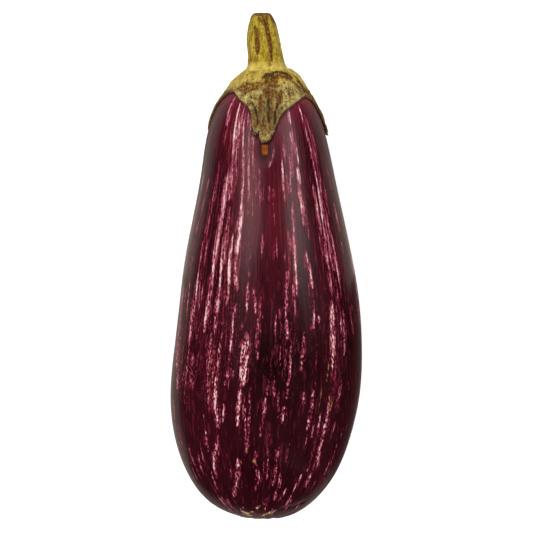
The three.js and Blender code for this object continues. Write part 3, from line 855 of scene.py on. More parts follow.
# The angle of each sepal and how far its tip stands off the skin. Each reach below is where a form
# begins and where it is whole.
SEPALS = [(92, 1.2), (193, 0.6), (248, 1), (294, 1), (351, 0.8)]
SEPAL_LIFT_REACH = (23, 44)
SEPAL_RIB = 0.3
SEPAL_RIB_WIDTH = 3.2
SEPAL_RIB_REACH = (14, 22)
SEPAL_FOLD = 0.2
SEPAL_FOLDS = 11
SEPAL_FOLD_TWIST = 0.12
SEPAL_FOLD_REACH = (9, 18)
CROWN_SWELL = 1.1
CROWN_SWELL_REACH = (5, 9)
CROWN_END_REACH = (12, 18)
EDGE_THINNING = 0.3
EDGE_SHARE = (0.8, 1)
STEM_SEAT = 202.6
CALYX_COLUMNS = 640
CALYX_ROWS = 84
CALYX_UNDER_ROWS = 40
CALYX_EDGE_CROWDING = 1.25
CALYX_UNDER_SHARE = 0.995
CALYX_RADIUS = 20.0


def curve_through(corners, closed, count):
    """Points evenly spaced along a centripetal Catmull-Rom curve through the corners."""
    corners = np.array(corners, float)
    if closed:
        before, after = corners[-1:], corners[:2]
    else:
        before, after = 2 * corners[:1] - corners[1:2], 2 * corners[-1:] - corners[-2:-1]
    padded = np.concatenate([before, corners, after])
    dense = []
    for a, b, c, d in zip(padded, padded[1:], padded[2:], padded[3:]):
        knots = np.cumsum([0] + [np.linalg.norm(q - p) ** 0.5 for p, q in ((a, b), (b, c), (c, d))])
        t = np.linspace(knots[1], knots[2], 60, endpoint=False)[:, None]

        def between(p, q, low, high):
            return p * (high - t) / (high - low) + q * (t - low) / (high - low)

        ab = between(a, b, knots[0], knots[1])
        bc = between(b, c, knots[1], knots[2])
        cd = between(c, d, knots[2], knots[3])
        abc = between(ab, bc, knots[0], knots[2])
        bcd = between(bc, cd, knots[1], knots[3])
        dense.append(between(abc, bcd, knots[1], knots[2]))
    dense.append(padded[-2:-1])
    dense = np.concatenate(dense)
    lengths = np.concatenate([[0], np.cumsum(np.linalg.norm(np.diff(dense, axis=0), axis=1))])
    targets = np.linspace(0, lengths[-1], count, endpoint=not closed)
    return np.stack([np.interp(targets, lengths, dense[:, k]) for k in range(dense.shape[1])], axis=1)


def grown_noise(growth, across, along, seed):
    """The same noise drawn out along the growth as in the materials, from -1 to 1, for relief."""
    scaled = growth / np.array([across, across, along]) + seed
    return np.array([noise.noise(Vector(p)) for p in scaled.reshape(-1, 3)]).reshape(growth.shape[:-1])


# The edge seen along the axis, evenly divided, and crumbly towards the sepals' tips.
corners = [
    (far * math.cos(math.radians(turn)), far * math.sin(math.radians(turn)))
    for turn, far in reversed(CALYX_EDGE)
]
outline = curve_through(corners, True, CALYX_COLUMNS)
edge_angle = np.arctan2(outline[:, 1], outline[:, 0])
edge_reach = np.hypot(outline[:, 0], outline[:, 1])
crown_angle = edge_angle[0] + np.linspace(0, 2 * math.pi, CALYX_COLUMNS, endpoint=False)
edge_turn = turn_from(edge_angle, crown_angle)
edge_growth = grown_round(CALYX_RADIUS, edge_angle, edge_reach)
crumble = 0.45 * grown_noise(edge_growth, 1.6, 1.6, 3.0) + 0.25 * grown_noise(edge_growth, 0.7, 0.7, 9.0)
edge_reach = edge_reach + crumble * smoothstep(edge_reach, 24, 38)


def calyx_surface(reach, angle, share, outside):
    """Points of the calyx's outer or inner side by reach, angle and share of the way to its edge."""
    turns, lifts = np.array(SEPALS).T
    from_sepals = np.abs(turn_from(angle[..., None], np.radians(turns)))
    lift = lifts[from_sepals.argmin(axis=-1)]
    height = CALYX_GAP + lift * smoothstep(reach, *SEPAL_LIFT_REACH)
    if outside:
        near_edge = smoothstep(share, *EDGE_SHARE)
        places, thicks = zip(*CALYX_THICKNESS)
        thickness = np.interp(reach, places, thicks) * (1 - EDGE_THINNING * near_edge)
        aside = from_sepals.min(axis=-1) * np.minimum(reach, WIDEST / 2)
        rib = SEPAL_RIB * smoothstep(reach, *SEPAL_RIB_REACH) * np.exp(-((aside / SEPAL_RIB_WIDTH) ** 2))
        fold = SEPAL_FOLD * np.sin(SEPAL_FOLDS * angle + SEPAL_FOLD_TWIST * reach)
        collar = smoothstep(reach, *CROWN_SWELL_REACH) * (1 - smoothstep(reach, *CROWN_END_REACH))
        swell = CROWN_SWELL * collar * np.maximum(0, np.cos(angle)) ** 2
        folded = rib + fold * smoothstep(reach, *SEPAL_FOLD_REACH) + swell
        height = height + thickness + folded * (1 - near_edge)
    points = skin_point(reach, angle) + skin_normal(reach, angle) * height[..., None]
    points[..., 1] = np.minimum(points[..., 1], STEM_SEAT - CALYX_GAP)
    return points


def calyx_grid(shares):
    """Rings between the calyx's middle and its edge, by reach, angle and share, and their growth."""
    share = shares[:, None] + np.zeros(CALYX_COLUMNS)
    reach = share * edge_reach
    angle = crown_angle + edge_turn * smoothstep(share, 0.35, 1)
    return reach, angle, share, grown_round(CALYX_RADIUS, angle, reach)


# Stains on the calyx, and dark lines along the side sepals' inner edges, as strength, half-width and
# route of (angle, reach): dark lengthwise streaks, brown ones, the corky ring round the crown, and the
# scab beside the stem's foot.
DARK_STREAKS = [
    (1.0, 0.45, [(106, 27.8), (101, 32), (98.5, 35.5), (98, 39)]),
    (0.95, 0.95, [(88.5, 27), (88, 33.2), (87.5, 38)]),
    (1.0, 0.75, [(78, 29), (81, 33.5), (82, 38), (84.5, 42)]),
    (0.5, 0.5, [(92.5, 28), (92, 33)]),
    (0.8, 0.35, [(95.5, 38), (93.5, 43)]),
    (0.9, 0.45, [(68.5, 28), (67.5, 29)]),
    (0.8, 0.45, [(53, 20.5), (55, 22.8)]),
    (0.7, 0.5, [(45, 22), (40, 24)]),
    (0.6, 0.5, [(74, 31), (76, 34)]),
    (0.8, 0.5, [(37, 16), (28, 19.5)]),
    (0.7, 0.5, [(33, 19.5), (27, 22)]),
    (0.7, 0.5, [(150, 22), (156, 26), (160, 30)]),
    (0.7, 0.5, [(26, 27), (20, 32), (22, 38)]),
    # These two darken the inner edges of the side sepals along their length.
    (0.9, 0.9, [(150, 21), (160, 23), (166, 25.5), (172, 28.5), (177, 31.5)]),
    (0.9, 0.9, [(20, 25), (15, 27.5), (8, 30.5), (1, 34.5), (-1, 38)]),
    (0.7, 1.0, [(190, 25), (192, 36)]),
    (0.6, 0.8, [(182, 24), (187, 32)]),
    (0.7, 0.9, [(-8, 25), (-9, 38)]),
    (0.6, 0.8, [(4, 25), (-1, 35)]),
    (0.8, 1.0, [(248, 23), (248, 37)]),
    (0.6, 0.8, [(240, 23), (244, 32)]),
    (0.6, 0.8, [(257, 23), (253, 31)]),
    (0.8, 1.0, [(295, 22), (294, 34)]),
    (0.6, 0.8, [(286, 23), (290, 31)]),
    (0.6, 0.8, [(303, 23), (299, 31)]),
]
BROWN_STREAKS = [
    (1.0, 1.7, [(89, 20.5), (90, 23.5), (86, 28)]),
    (0.9, 1.0, [(97.5, 24.5), (96.5, 29), (96, 33)]),
    (1.0, 1.1, [(70.5, 21.5), (74, 26.2), (78.5, 30)]),
    (0.8, 0.8, [(83, 21), (82, 26)]),
    (0.9, 0.5, [(91.5, 35.5), (94, 39.8)]),
    (0.6, 0.5, [(108, 27), (105, 30)]),
    (0.7, 0.6, [(60, 20), (62, 24)]),
    (0.8, 1.1, [(124, 21), (116, 23.5)]),
    (1.0, 1.2, [(36, 14), (31, 16.5), (29, 19.5), (31, 23), (34, 26.5)]),
    (0.9, 0.8, [(45, 17.2), (40.5, 20), (37, 23.5)]),
    (0.9, 1.0, [(80, 21), (77, 24), (77, 28)]),
    (0.6, 0.8, [(93, 22), (94, 26)]),
    (0.8, 0.7, [(85, 26), (84, 31), (85, 36)]),
    (0.9, 1.5, [(146, 21), (151, 24), (157, 27), (161, 31), (164, 37)]),
    (1.0, 2.5, [(150, 20.5), (161, 23), (167, 25.5), (173, 28.5), (178, 31.5), (183, 35)]),
    (1.0, 4.0, [(27, 20), (22, 24), (16, 27.5), (8, 30.5), (2, 34), (-2, 38)]),
    (0.8, 1.5, [(28, 26), (22, 30), (24, 36), (24.5, 40)]),
    (0.8, 1.0, [(18, 20), (10, 24), (4, 30)]),
    (0.6, 0.7, [(86, 39), (88, 44)]),
    (0.7, 0.8, [(100, 38), (99, 42)]),
    (0.6, 1.2, [(200, 20), (194, 30)]),
    (0.6, 1.2, [(0, 22), (-6, 33)]),
    (0.6, 1.2, [(250, 20), (250, 30)]),
    (0.6, 1.2, [(297, 20), (296, 30)]),
]
CORK_RING = [
    (1.0, 1.7, [(132, 20.3), (117, 18.7), (103, 18.9), (92, 18.6)]),
    (0.8, 1.2, [(126, 21.5), (110, 20.8), (94, 21)]),
    (1.0, 2.2, [(92, 17.6), (83, 16.6), (74, 15.4)]),
    (1.0, 1.7, [(78, 14.8), (67, 14), (57, 14.8), (50, 15.8)]),
    (0.9, 1.2, [(89, 19.6), (81, 19.2), (72, 18.8)]),
    (0.8, 0.9, [(48, 16.5), (41, 18.2), (34, 20)]),
    (0.8, 1.4, [(24, 20.4), (10, 20.8), (-5, 21)]),
    (0.6, 2.0, [(-5, 21), (-60, 19), (-120, 20), (-200, 20.5), (-227, 20.5)]),
]
SCAB = [
    (1.0, 1.9, [(96, 15.8), (88, 14.0), (77, 13.0)]),
    (1.0, 1.3, [(80, 12.4), (70, 11.9), (58, 12.4), (49.5, 14), (45, 15.6)]),
]

outer = calyx_grid(1 - (1 - np.linspace(0, 1, CALYX_ROWS + 1)[1:]) ** CALYX_EDGE_CROWDING)
inner = calyx_grid(np.linspace(1, 0, CALYX_UNDER_ROWS + 1)[:-1] * CALYX_UNDER_SHARE)
reach, angle, share, growth = outer
edge_radius = half_width(section_at(reach))
dark, brown, cork, scab = (
    stroke_field(angle, reach, edge_radius, strokes)
    for strokes in (DARK_STREAKS, BROWN_STREAKS, CORK_RING, SCAB)
)

# The relief: fine lengthwise grain, lumps where it is corky, the curled rim, and its stains.
CALYX_LUMPS = (0.3, 1.4)
CALYX_RIM_HEIGHT = 0.2
CALYX_RIM_SHARE = 0.965
CALYX_RIM_WIDTH = 0.02
DARK_DEPTH = 0.3
SCAB_HEIGHT = 0.25
crusty = np.clip(cork + smoothstep(reach, 36, 44), 0, 1)
fine = 0.2 * grown_noise(growth, 1.0, 5.0, 1.0) + 0.22 * grown_noise(growth, 3.0, 8.0, 5.0)
lumps = 0.34 * grown_noise(growth, 0.9, 1.3, 2.0) + 0.2 * grown_noise(growth, 0.45, 0.7, 7.0)
relief = fine * smoothstep(reach, 9, 16) * (1 - 0.4 * smoothstep(share, *EDGE_SHARE))
relief += lumps * part_way(*CALYX_LUMPS, crusty) * smoothstep(reach, 8, 12)
relief += CALYX_RIM_HEIGHT * np.exp(-(((share - CALYX_RIM_SHARE) / CALYX_RIM_WIDTH) ** 2))
relief += SCAB_HEIGHT * scab - DARK_DEPTH * dark
outside = calyx_surface(reach, angle, share, True)
outside += skin_normal(reach, angle) * relief[..., None]
outside[..., 1] = np.minimum(outside[..., 1], STEM_SEAT - CALYX_GAP)
points = np.concatenate([outside, calyx_surface(*inner[:3], False)])

# Crumbs break out along the corky ring and at the edge of the sepals' tips.
on_ring = 0.35 * cork * (reach > 17)
crumbly = np.clip(on_ring + smoothstep(reach, 39.5, 44) * smoothstep(share, 0.82, 0.95), 0, 1)


def calyx_values(values, under):
    """Values of the outer side, with one value for the whole inner side, for closed_mesh."""
    return values[0, 0], np.concatenate([values, np.full(inner[0].shape, under)]), under


pole = skin_point(np.array(0.0), np.array(0.0))
top_pole = pole + np.array([0, STEM_SEAT - CALYX_GAP - pole[1], 0])
inner_pole = pole + np.array([0, CALYX_GAP, 0])
calyx = closed_mesh("calyx_sepals", top_pole, points, inner_pole, {
    "growth": ((0, 0, 0), np.concatenate([growth, inner[3]]), (0, 0, 0)),
    "dark": calyx_values(dark, 0.0),
    "brown": calyx_values(brown, 0.0),
    "cork": calyx_values(cork, 0.0),
    "scab": calyx_values(scab, 0.0),
    "share": calyx_values(share, 0.5),
    "reach": calyx_values(reach, 25.0),
    "crust": calyx_values(crumbly, 0.0),
})


def all_three(tree, value):
    """A vector or colour with the same value three times."""
    return add(tree, "ShaderNodeCombineXYZ", {"X": value, "Y": value, "Z": value}).outputs[0]


def mottle_group():
    """A colour darkened by grain: a least share of it stays everywhere, and the grain adds to that."""
    tree, given, result = new_group("mottle", "ShaderNodeTree", {
        "Colour": "Color", "Grain": "Float", "Least": "Float", "Added": "Float",
    }, {"Mottled": "Color"})
    share = math_node(tree, "MULTIPLY_ADD", given["Grain"], given["Added"], given["Least"])
    tree.links.new(mix(tree, 1.0, given["Colour"], all_three(tree, share), "MULTIPLY"), result)
    return tree


mottle_tree = mottle_group()


def mottled(tree, colour, grain, least, more):
    return add(tree, "ShaderNodeGroup", {
        "Colour": colour, "Grain": grain, "Least": least, "Added": more,
    }, node_tree=mottle_tree).outputs["Mottled"]


def calyx_green():
    material, tree, shader = surface("calyx_green")
    growth = attribute(tree, "growth", "Vector")
    reach = attribute(tree, "reach")
    fine = fibres(tree, growth, 0.9, 6.0, 3.0, 2.3)
    blotch = fibres(tree, growth, 2.8, 5.0, 6.0, 8.1)
    stain = fibres(tree, growth, 4.5, 6.5, 5.0, 23.9)
    rings = fibres(tree, growth, 5.0, 1.1, 4.0, 41.3)
    grain = fibres(tree, growth, 0.9, 1.1, 3.0, 14.2)
    speck = fibres(tree, growth, 1.3, 1.6, 3.0, 31.4)

    # The sepals' green, the paler crown, and wear and browning towards the tips.
    sepal = ramp(
        tree, added(tree, (blotch, 0.05, 0.55), (fine, 0.2, 0.35), (grain, 0.25, 0.45)),
        (0.1, 74, 50, 18), (0.3, 120, 99, 47), (0.52, 148, 131, 74), (0.9, 172, 160, 103),
    )
    crown = ramp(
        tree, added(tree, (blotch, 0.1, 0.8), (fine, 0.1, 0.5)),
        (0.1, 128, 100, 32), (0.5, 164, 141, 54), (0.9, 190, 170, 86),
    )
    uneven_reach = added(tree, reach, (blotch, 0.5, 6.0))
    colour = mix(tree, steps(tree, uneven_reach, 15.5, 21.0), crown, sepal)
    worn = times(tree, steps(tree, stain, 0.5, 0.85), steps(tree, reach, 15.0, 19.0))
    colour = mix(tree, math_node(tree, "MULTIPLY", worn, 0.3), colour, linear(96, 62, 24))
    browned = times(tree, steps(tree, reach, 26.0, 35.0), added(tree, (fine, 0.0, 0.9), (blotch, 0.1, 0.7)))
    colour = mix(tree, browned, colour, linear(88, 60, 26))

    # The stains, each broken up in its own way: brown wood, bark, scab and dark streaks.
    wood = ramp(
        tree, added(tree, (grain, 0.0, 0.6), (fine, 0.0, 0.4)),
        (0.2, 46, 22, 4), (0.5, 82, 46, 13), (0.8, 122, 88, 36),
    )
    stained = ragged(tree, "brown", (fine, 1.5), (grain, 1.3), (blotch, 0.6))
    colour = mix(tree, steps(tree, stained, 0.3, 0.75), colour, wood)
    bark = ramp(
        tree, added(tree, (rings, 0.0, 0.5), (grain, 0.0, 0.5)),
        (0.15, 42, 18, 2), (0.4, 76, 38, 7), (0.6, 110, 70, 22), (0.8, 150, 122, 54),
    )
    corked = ragged(tree, "cork", (rings, 1.3), (grain, 1.1), (blotch, 0.8))
    colour = mix(tree, steps(tree, corked, 0.28, 0.62), colour, bark)
    crust = ramp(
        tree, added(tree, (grain, 0.0, 0.6), (fine, 0.0, 0.4)),
        (0.2, 28, 22, 10), (0.48, 54, 40, 17), (0.62, 92, 54, 17), (0.8, 124, 82, 28),
    )
    scabbed = ragged(tree, "scab", (rings, 0.9), (grain, 1.1), (blotch, 0.6))
    colour = mix(tree, steps(tree, scabbed, 0.3, 0.65), colour, crust)
    darkened = ragged(tree, "dark", (fine, 1.2), (grain, 1.4))
    colour = mix(tree, steps(tree, darkened, 0.3, 0.85), colour, linear(40, 31, 13))

    # The specks, the pale tips, and the pale line and brown rim along the edge.
    colour = mix(tree, steps(tree, speck, 0.62, 0.9), colour, linear(72, 42, 16))
    tip = times(tree, steps(tree, reach, 38.0, 45.0), grain)
    colour = mix(tree, math_node(tree, "MULTIPLY", tip, 0.6), colour, linear(160, 136, 84))
    share = attribute(tree, "share")
    pale = times(tree, steps(tree, share, 0.93, 0.96), steps(tree, share, 0.985, 0.965), grain)
    colour = mix(tree, math_node(tree, "MULTIPLY", pale, 0.6), colour, linear(150, 134, 84))
    rim = times(tree, steps(tree, share, 0.972, 0.99), math_node(tree, "ADD", grain, 0.5))
    colour = mix(tree, math_node(tree, "MULTIPLY", rim, 0.8), colour, linear(58, 34, 14))

    feed(tree, shader, {
        "Base Color": mottled(tree, colour, grain, 0.66, 0.6),
        "Roughness": math_node(tree, "MULTIPLY_ADD", attribute(tree, "cork"), 0.2, 0.62),
        "Specular IOR Level": 0.12,
        "Normal": bump(tree, added(tree, fine, blotch, grain), 0.0003),
    })
    return material


calyx_material = calyx_green()
calyx.data.materials.append(calyx_material)
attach(calyx, "root")
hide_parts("calyx")


# The crumbs: small corky lumps that break out of the sepals' tips and along the ring round the
# crown, each grown half into the surface.

# How many there are for each square metre, and the radii in metres between which they vary.
CRUMB_DENSITY = 2.4e6
CRUMB_RADII = (0.12e-3, 0.3e-3)
CRUMB_SEED = 5


def crumb_material():
    material, tree, shader = surface("corky_crumbs")
    growth = attribute(tree, "growth", "Vector")
    tone = fibres(tree, growth, 0.7, 0.7, 2.0, 51.2)
    at_tips = steps(tree, attribute(tree, "reach"), 28.0, 38.0)
    pale = ramp(tree, tone, (0.1, 70, 44, 18), (0.5, 116, 92, 48), (0.9, 170, 148, 94))
    brown = ramp(tree, tone, (0.1, 62, 34, 12), (0.5, 100, 62, 26), (0.9, 150, 116, 60))
    feed(tree, shader, {
        "Base Color": mix(tree, at_tips, brown, pale), "Roughness": 0.75, "Specular IOR Level": 0.3,
    })
    return material


def crumb_tree():
    """Lumps of random size spread over a surface, thickest where its crust attribute is 1."""
    tree, given, result = new_group("corky crumbs", "GeometryNodeTree", {
        "Surface": "Geometry", "Density": "Float", "Smallest": "Float", "Largest": "Float",
        "Seed": "Int", "Material": "Material",
    }, {"Crumbs": "Geometry"})
    crust = add(tree, "GeometryNodeInputNamedAttribute", {"Name": "crust"}).outputs["Attribute"]
    density = math_node(tree, "MULTIPLY", crust, given["Density"])
    spread = add(tree, "GeometryNodeDistributePointsOnFaces", {
        "Mesh": given["Surface"], "Density": density, "Seed": given["Seed"],
    })
    lump = add(tree, "GeometryNodeMeshIcoSphere", {"Radius": 1.0, "Subdivisions": 1}).outputs["Mesh"]
    size = add(tree, "FunctionNodeRandomValue", {
        0: all_three(tree, given["Smallest"]), 1: all_three(tree, given["Largest"]), "Seed": given["Seed"],
    }, data_type="FLOAT_VECTOR")
    placed = add(tree, "GeometryNodeInstanceOnPoints", {
        "Points": spread.outputs["Points"], "Instance": lump, "Rotation": spread.outputs["Rotation"],
        "Scale": size.outputs[0],
    }).outputs["Instances"]
    real = add(tree, "GeometryNodeRealizeInstances", {"Geometry": placed}).outputs["Geometry"]
    coated = add(tree, "GeometryNodeSetMaterial", {"Geometry": real, "Material": given["Material"]})
    tree.links.new(coated.outputs["Geometry"], result)
    return tree


crumbs = bpy.data.objects.new("calyx_crumbs", calyx.data.copy())
bpy.context.scene.collection.objects.link(crumbs)
grower = crumbs.modifiers.new("crumbs", "NODES")
grower.node_group = crumb_tree()
sockets = {item.name: item.identifier for item in grower.node_group.interface.items_tree}
for name, value in (
    ("Density", CRUMB_DENSITY), ("Smallest", CRUMB_RADII[0]), ("Largest", CRUMB_RADII[1]),
    ("Seed", CRUMB_SEED), ("Material", crumb_material()),
):
    grower[sockets[name]] = value
evaluated = crumbs.evaluated_get(bpy.context.evaluated_depsgraph_get())
lumps_mesh = bpy.data.meshes.new_from_object(evaluated)
crumbs.modifiers.clear()
crumbs.data = lumps_mesh
crumbs.data.shade_smooth()
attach(crumbs, "root")


# The stem: the ridged stalk that the eggplant hung by, woody and dry at its cut end. Brown corky
# stripes run down between its ridges, and its foot flares into the crown of the calyx.

# Its sections, as height, half-width and drift sideways, and its cut edge, as height and half-width.
STEM_SECTIONS = [
    (0, 9.8, 0.45), (1.35, 8.7, 0.3), (3.6, 8.1, -0.05), (6.3, 7.7, -0.3), (9, 7.6, -0.7),
    (12.6, 7.4, -1.2), (16.2, 6.9, -1.45), (19.8, 6.2, -1.6), (22.05, 5.4, -1.75), (23.6, 4.8, -1.9),
]
CUT_EDGE = [(24.4, 4.2), (24.7, 3.9), (24.75, 3.5), (24.6, 3.1), (24.4, 2.4), (24.5, 1.4), (24.35, 0.5)]
CUT_MIDDLE = 24.3
STEM_LENGTH = 24.4
STEM_BEND = 2.4
STEM_RIDGES = 5
STEM_RIDGE_SHARE = 0.05
STEM_RIDGE_TURN = 1.3
STEM_TWIST = 0.5
STEM_COLUMNS = 240
STEM_SIDE_ROWS = 120
STEM_CUT_ROWS = 40
STEM_RADIUS = 8.0
STRIPE_HEIGHT = 0.14
FOOT_SINK = 0.25

side = curve_through(
    [(half, height, sideways) for height, half, sideways in STEM_SECTIONS], False, STEM_SIDE_ROWS
)
side_top = side[-1]
cut_edge = [(half, height, side_top[2]) for height, half in CUT_EDGE]
cut = curve_through([tuple(side_top)] + cut_edge, False, STEM_CUT_ROWS)
profile = np.concatenate([side, cut[1:]])[::-1]
half, height, sideways = (profile[:, k][:, None] + np.zeros(STEM_COLUMNS) for k in range(3))
climb = height / STEM_LENGTH

# How far each point is over the surface from the middle of the cut, and where the cut's face ends.
CUT_FACE_REACH = (3.6, 6.0)
CUT_FACE_ROUGHNESS = 0.14
travel = np.concatenate([[0], np.cumsum(np.linalg.norm(np.diff(profile[:, :2], axis=0), axis=1))])
cut_depth, angle = rings_of(travel, STEM_COLUMNS)
growth = grown_round(STEM_RADIUS, angle, cut_depth)
face = 1 - smoothstep(cut_depth, *CUT_FACE_REACH)
ridge = 1 + STEM_RIDGE_SHARE * np.cos(STEM_RIDGES * angle + STEM_RIDGE_TURN + STEM_TWIST * climb)
fine = 0.16 * grown_noise(growth, 1.1, 8.0, 4.0) + 0.1 * grown_noise(growth, 0.5, 1.2, 6.0)

# The brown stripes: strength, half-width and route of (angle, height).
STEM_STRIPES = [
    (0.9, 0.8, [(123, 18.6), (115, 16.6), (112, 13.5)]),
    (1.0, 1.05, [(115, 16.5), (112.5, 14), (112, 11), (114, 8), (117, 6)]),
    (1.0, 1.05, [(86, 23.6), (81, 20.4), (74, 17.7), (70, 12.9), (69.5, 8.8), (72, 5.2), (73, 3)]),
    (1.0, 0.7, [(69, 23.2), (73, 19)]),
    (0.9, 0.6, [(120, 23.4), (100, 23.4), (84, 23.6)]),
    (0.9, 0.8, [(106, 22.6), (100, 20.6)]),
    (1.0, 1.9, [(44, 24.4), (26, 23.2), (12, 21.4), (6, 19.4)]),
    (0.5, 2.2, [(76, 7.5), (80, 4.4), (84, 0.5)]),
    (0.75, 2.2, [(20, 24), (30, 22), (44, 20.5)]),
    (0.7, 0.8, [(92, 21.3), (85, 19)]),
    (0.6, 0.8, [(104, 16.5), (102, 13.5)]),
    (0.6, 1.2, [(162, 6.5), (140, 3)]),
    (0.5, 0.9, [(128, 4), (112, 2.8)]),
    (0.45, 0.9, [(46, 20), (44, 14)]),
    (0.45, 0.9, [(48, 9), (52, 4)]),
    (0.5, 0.8, [(150, 20), (148, 10)]),
    (0.9, 1.2, [(210, 21), (206, 8)]),
    (0.8, 1.0, [(262, 23), (266, 5)]),
    (0.8, 1.2, [(322, 19), (326, 7)]),
]
stripe = stroke_field(angle, height, np.maximum(half, 1), STEM_STRIPES) * (1 - face)
spread = half * ridge + fine * (1 - face) * smoothstep(height, 0, 2) + STRIPE_HEIGHT * stripe
stalk = np.stack([
    sideways + spread * np.cos(angle),
    STEM_SEAT - FOOT_SINK + height + face * CUT_FACE_ROUGHNESS * grown_noise(growth, 0.8, 0.8, 12.0),
    STEM_BEND * climb**2 + spread * np.sin(angle),
], axis=-1)

# The foot goes on as a thin skirt that sinks into the crown, so that no joint shows.
SKIRT_ROWS = 16
SKIRT_REACH = (8.6, 13.5)
SKIRT_LIFT = 0.35
SKIRT_SINK = 0.5
SKIRT_JOIN = 0.35
skirt_share, skirt_angle = rings_of(np.linspace(0, 1, SKIRT_ROWS + 1)[1:], STEM_COLUMNS)
skirt_reach = part_way(*SKIRT_REACH, skirt_share)
under = calyx_surface(skirt_reach, skirt_angle, np.full(skirt_reach.shape, 0.3), True)
lift = SKIRT_LIFT * (1 - skirt_share) ** 2 - SKIRT_SINK * skirt_share
skirt = under + skin_normal(skirt_reach, skirt_angle) * lift[..., None]
skirt = part_way(stalk[-1], skirt, smoothstep(skirt_share, 0, SKIRT_JOIN)[..., None])
points = np.concatenate([stalk, skirt])
skirt_growth = growth[-1] + np.array([0, 0, 1.0]) * (skirt_reach - SKIRT_REACH[0])[..., None]


def with_skirt(values, last):
    """Values of the stalk, with one value for the whole skirt, for closed_mesh."""
    return np.concatenate([values, np.full(skirt_reach.shape, float(last))])


cut_pole = np.array([sideways[0, 0], STEM_SEAT - FOOT_SINK + CUT_MIDDLE, STEM_BEND])
foot_pole = np.array([STEM_SECTIONS[0][2], STEM_SEAT - 3, 0])
stem = closed_mesh("stem_stalk", cut_pole, points, foot_pole, {
    "growth": ((0, 0, 0), np.concatenate([growth, skirt_growth]), (0, 0, travel[-1])),
    "stripe": (0, with_skirt(stripe, 0), 0),
    "height": (CUT_MIDDLE, np.concatenate([height, -skirt_share]), -1),
    "cut_depth": (0, with_skirt(cut_depth, travel[-1]), travel[-1]),
})


def stem_green():
    material, tree, shader = surface("stem_green")
    growth = attribute(tree, "growth", "Vector")
    fine = fibres(tree, growth, 1.0, 7.0, 2.0, 1.9)
    blotch = fibres(tree, growth, 2.6, 4.5, 6.0, 6.6)
    grain = fibres(tree, growth, 0.9, 1.1, 3.0, 17.3)
    speck = fibres(tree, growth, 1.3, 1.7, 3.0, 27.2)

    # The green bark, with its specks and its paler foot.
    green = ramp(
        tree, added(tree, (blotch, 0.0, 0.5), (fine, 0.0, 0.25), (grain, 0.0, 0.25)),
        (0.15, 92, 65, 9), (0.36, 126, 102, 18), (0.56, 148, 128, 32), (0.85, 168, 154, 60),
    )
    green = mix(tree, steps(tree, speck, 0.56, 0.9), green, linear(96, 72, 18))
    foot = steps(tree, attribute(tree, "height"), 4.0, -0.2)
    crown = ramp(
        tree, added(tree, (blotch, 0.0, 0.6), (fine, 0.0, 0.4)),
        (0.1, 146, 122, 48), (0.5, 172, 150, 64), (0.9, 194, 174, 94),
    )
    green = mix(tree, foot, green, crown)

    # The brown stripes, the pith of the cut face and the brown rim round it.
    brown = ramp(tree, grain, (0.2, 58, 26, 5), (0.5, 84, 46, 10), (0.8, 116, 78, 22))
    striped = ragged(tree, "stripe", (grain, 0.9), (fine, 0.5), (blotch, 0.25))
    colour = mix(tree, steps(tree, striped, 0.3, 0.66), green, brown)
    cut_depth = attribute(tree, "cut_depth")
    pith = ramp(tree, grain, (0.1, 112, 84, 44), (0.5, 160, 136, 84), (0.9, 190, 172, 120))
    colour = mix(tree, steps(tree, cut_depth, 5.0, 3.6), colour, pith)
    rim = times(tree, steps(tree, cut_depth, 2.4, 3.6), steps(tree, cut_depth, 6.0, 4.4))
    colour = mix(tree, math_node(tree, "MULTIPLY", rim, 0.85), colour, linear(82, 52, 26))

    feed(tree, shader, {
        "Base Color": mottled(tree, colour, grain, 0.74, 0.5),
        "Roughness": 0.6,
        "Specular IOR Level": 0.12,
        "Normal": bump(tree, added(tree, fine, blotch, grain), 0.00025),
    })
    return material


stem.data.materials.append(stem_green())
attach(stem, "root")
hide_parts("stem")


# The corky tab: a dried scrap of the sepal that stuck to the skin and tore off, orange-brown and
# fibrous, lying in a small hollow of the fruit.
TAB_HALF_WIDTH = 1.5
TAB_HALF_LENGTH = 2.45
TAB_HEIGHT = 0.9
TAB_CRUST = 0.1
TAB_EDGE = 0.05
TAB_SINK = 0.15
TAB_SQUARENESS = 5
TAB_RINGS = 14
TAB_COLUMNS = 48

far, turn = rings_of(np.linspace(0, 1, TAB_RINGS + 1)[1:] ** 0.8, TAB_COLUMNS)
cos, sin = np.cos(turn), np.sin(turn)
square = (np.abs(cos) ** TAB_SQUARENESS + np.abs(sin) ** TAB_SQUARENESS) ** (-1 / TAB_SQUARENESS)
aside = TAB_HALF_WIDTH * far * square * cos
ahead = TAB_HALF_LENGTH * far * square * sin
reach = TAB_REACH - ahead
angle = TAB_ANGLE - aside / half_width(section_at(reach))
growth = np.stack([aside, ahead * 0, ahead], axis=-1)
crust = TAB_CRUST * grown_noise(growth, 0.35, 1.8, 3.0)
base = -hollow_depth(reach, angle)
top = base + TAB_HEIGHT * (1 - far**6) + crust * (1 - far**4)
over, under = (
    skin_point(reach, angle) + skin_normal(reach, angle) * height[..., None]
    for height in (top + TAB_EDGE, base - TAB_SINK)
)
rings = np.concatenate([over, under[::-1]])
growth = np.concatenate([growth, growth[::-1]])
tab = closed_mesh("corky_tab", over.mean(axis=(0, 1)), rings[:, ::-1], under.mean(axis=(0, 1)), {
    "growth": ((0, 0, 0), growth[:, ::-1], (0, 0, 0)),
})


def tab_brown():
    material, tree, shader = surface("tab_brown")
    growth = attribute(tree, "growth", "Vector")
    fine = fibres(tree, growth, 0.3, 1.8, 2.0, 4.4)
    feed(tree, shader, {
        "Base Color": ramp(tree, fine, (0.0, 72, 30, 5), (0.5, 112, 54, 12), (1.0, 142, 78, 28)),
        "Roughness": 0.65,
        "Specular IOR Level": 0.12,
        "Normal": bump(tree, fine, 0.0001),
    })
    return material


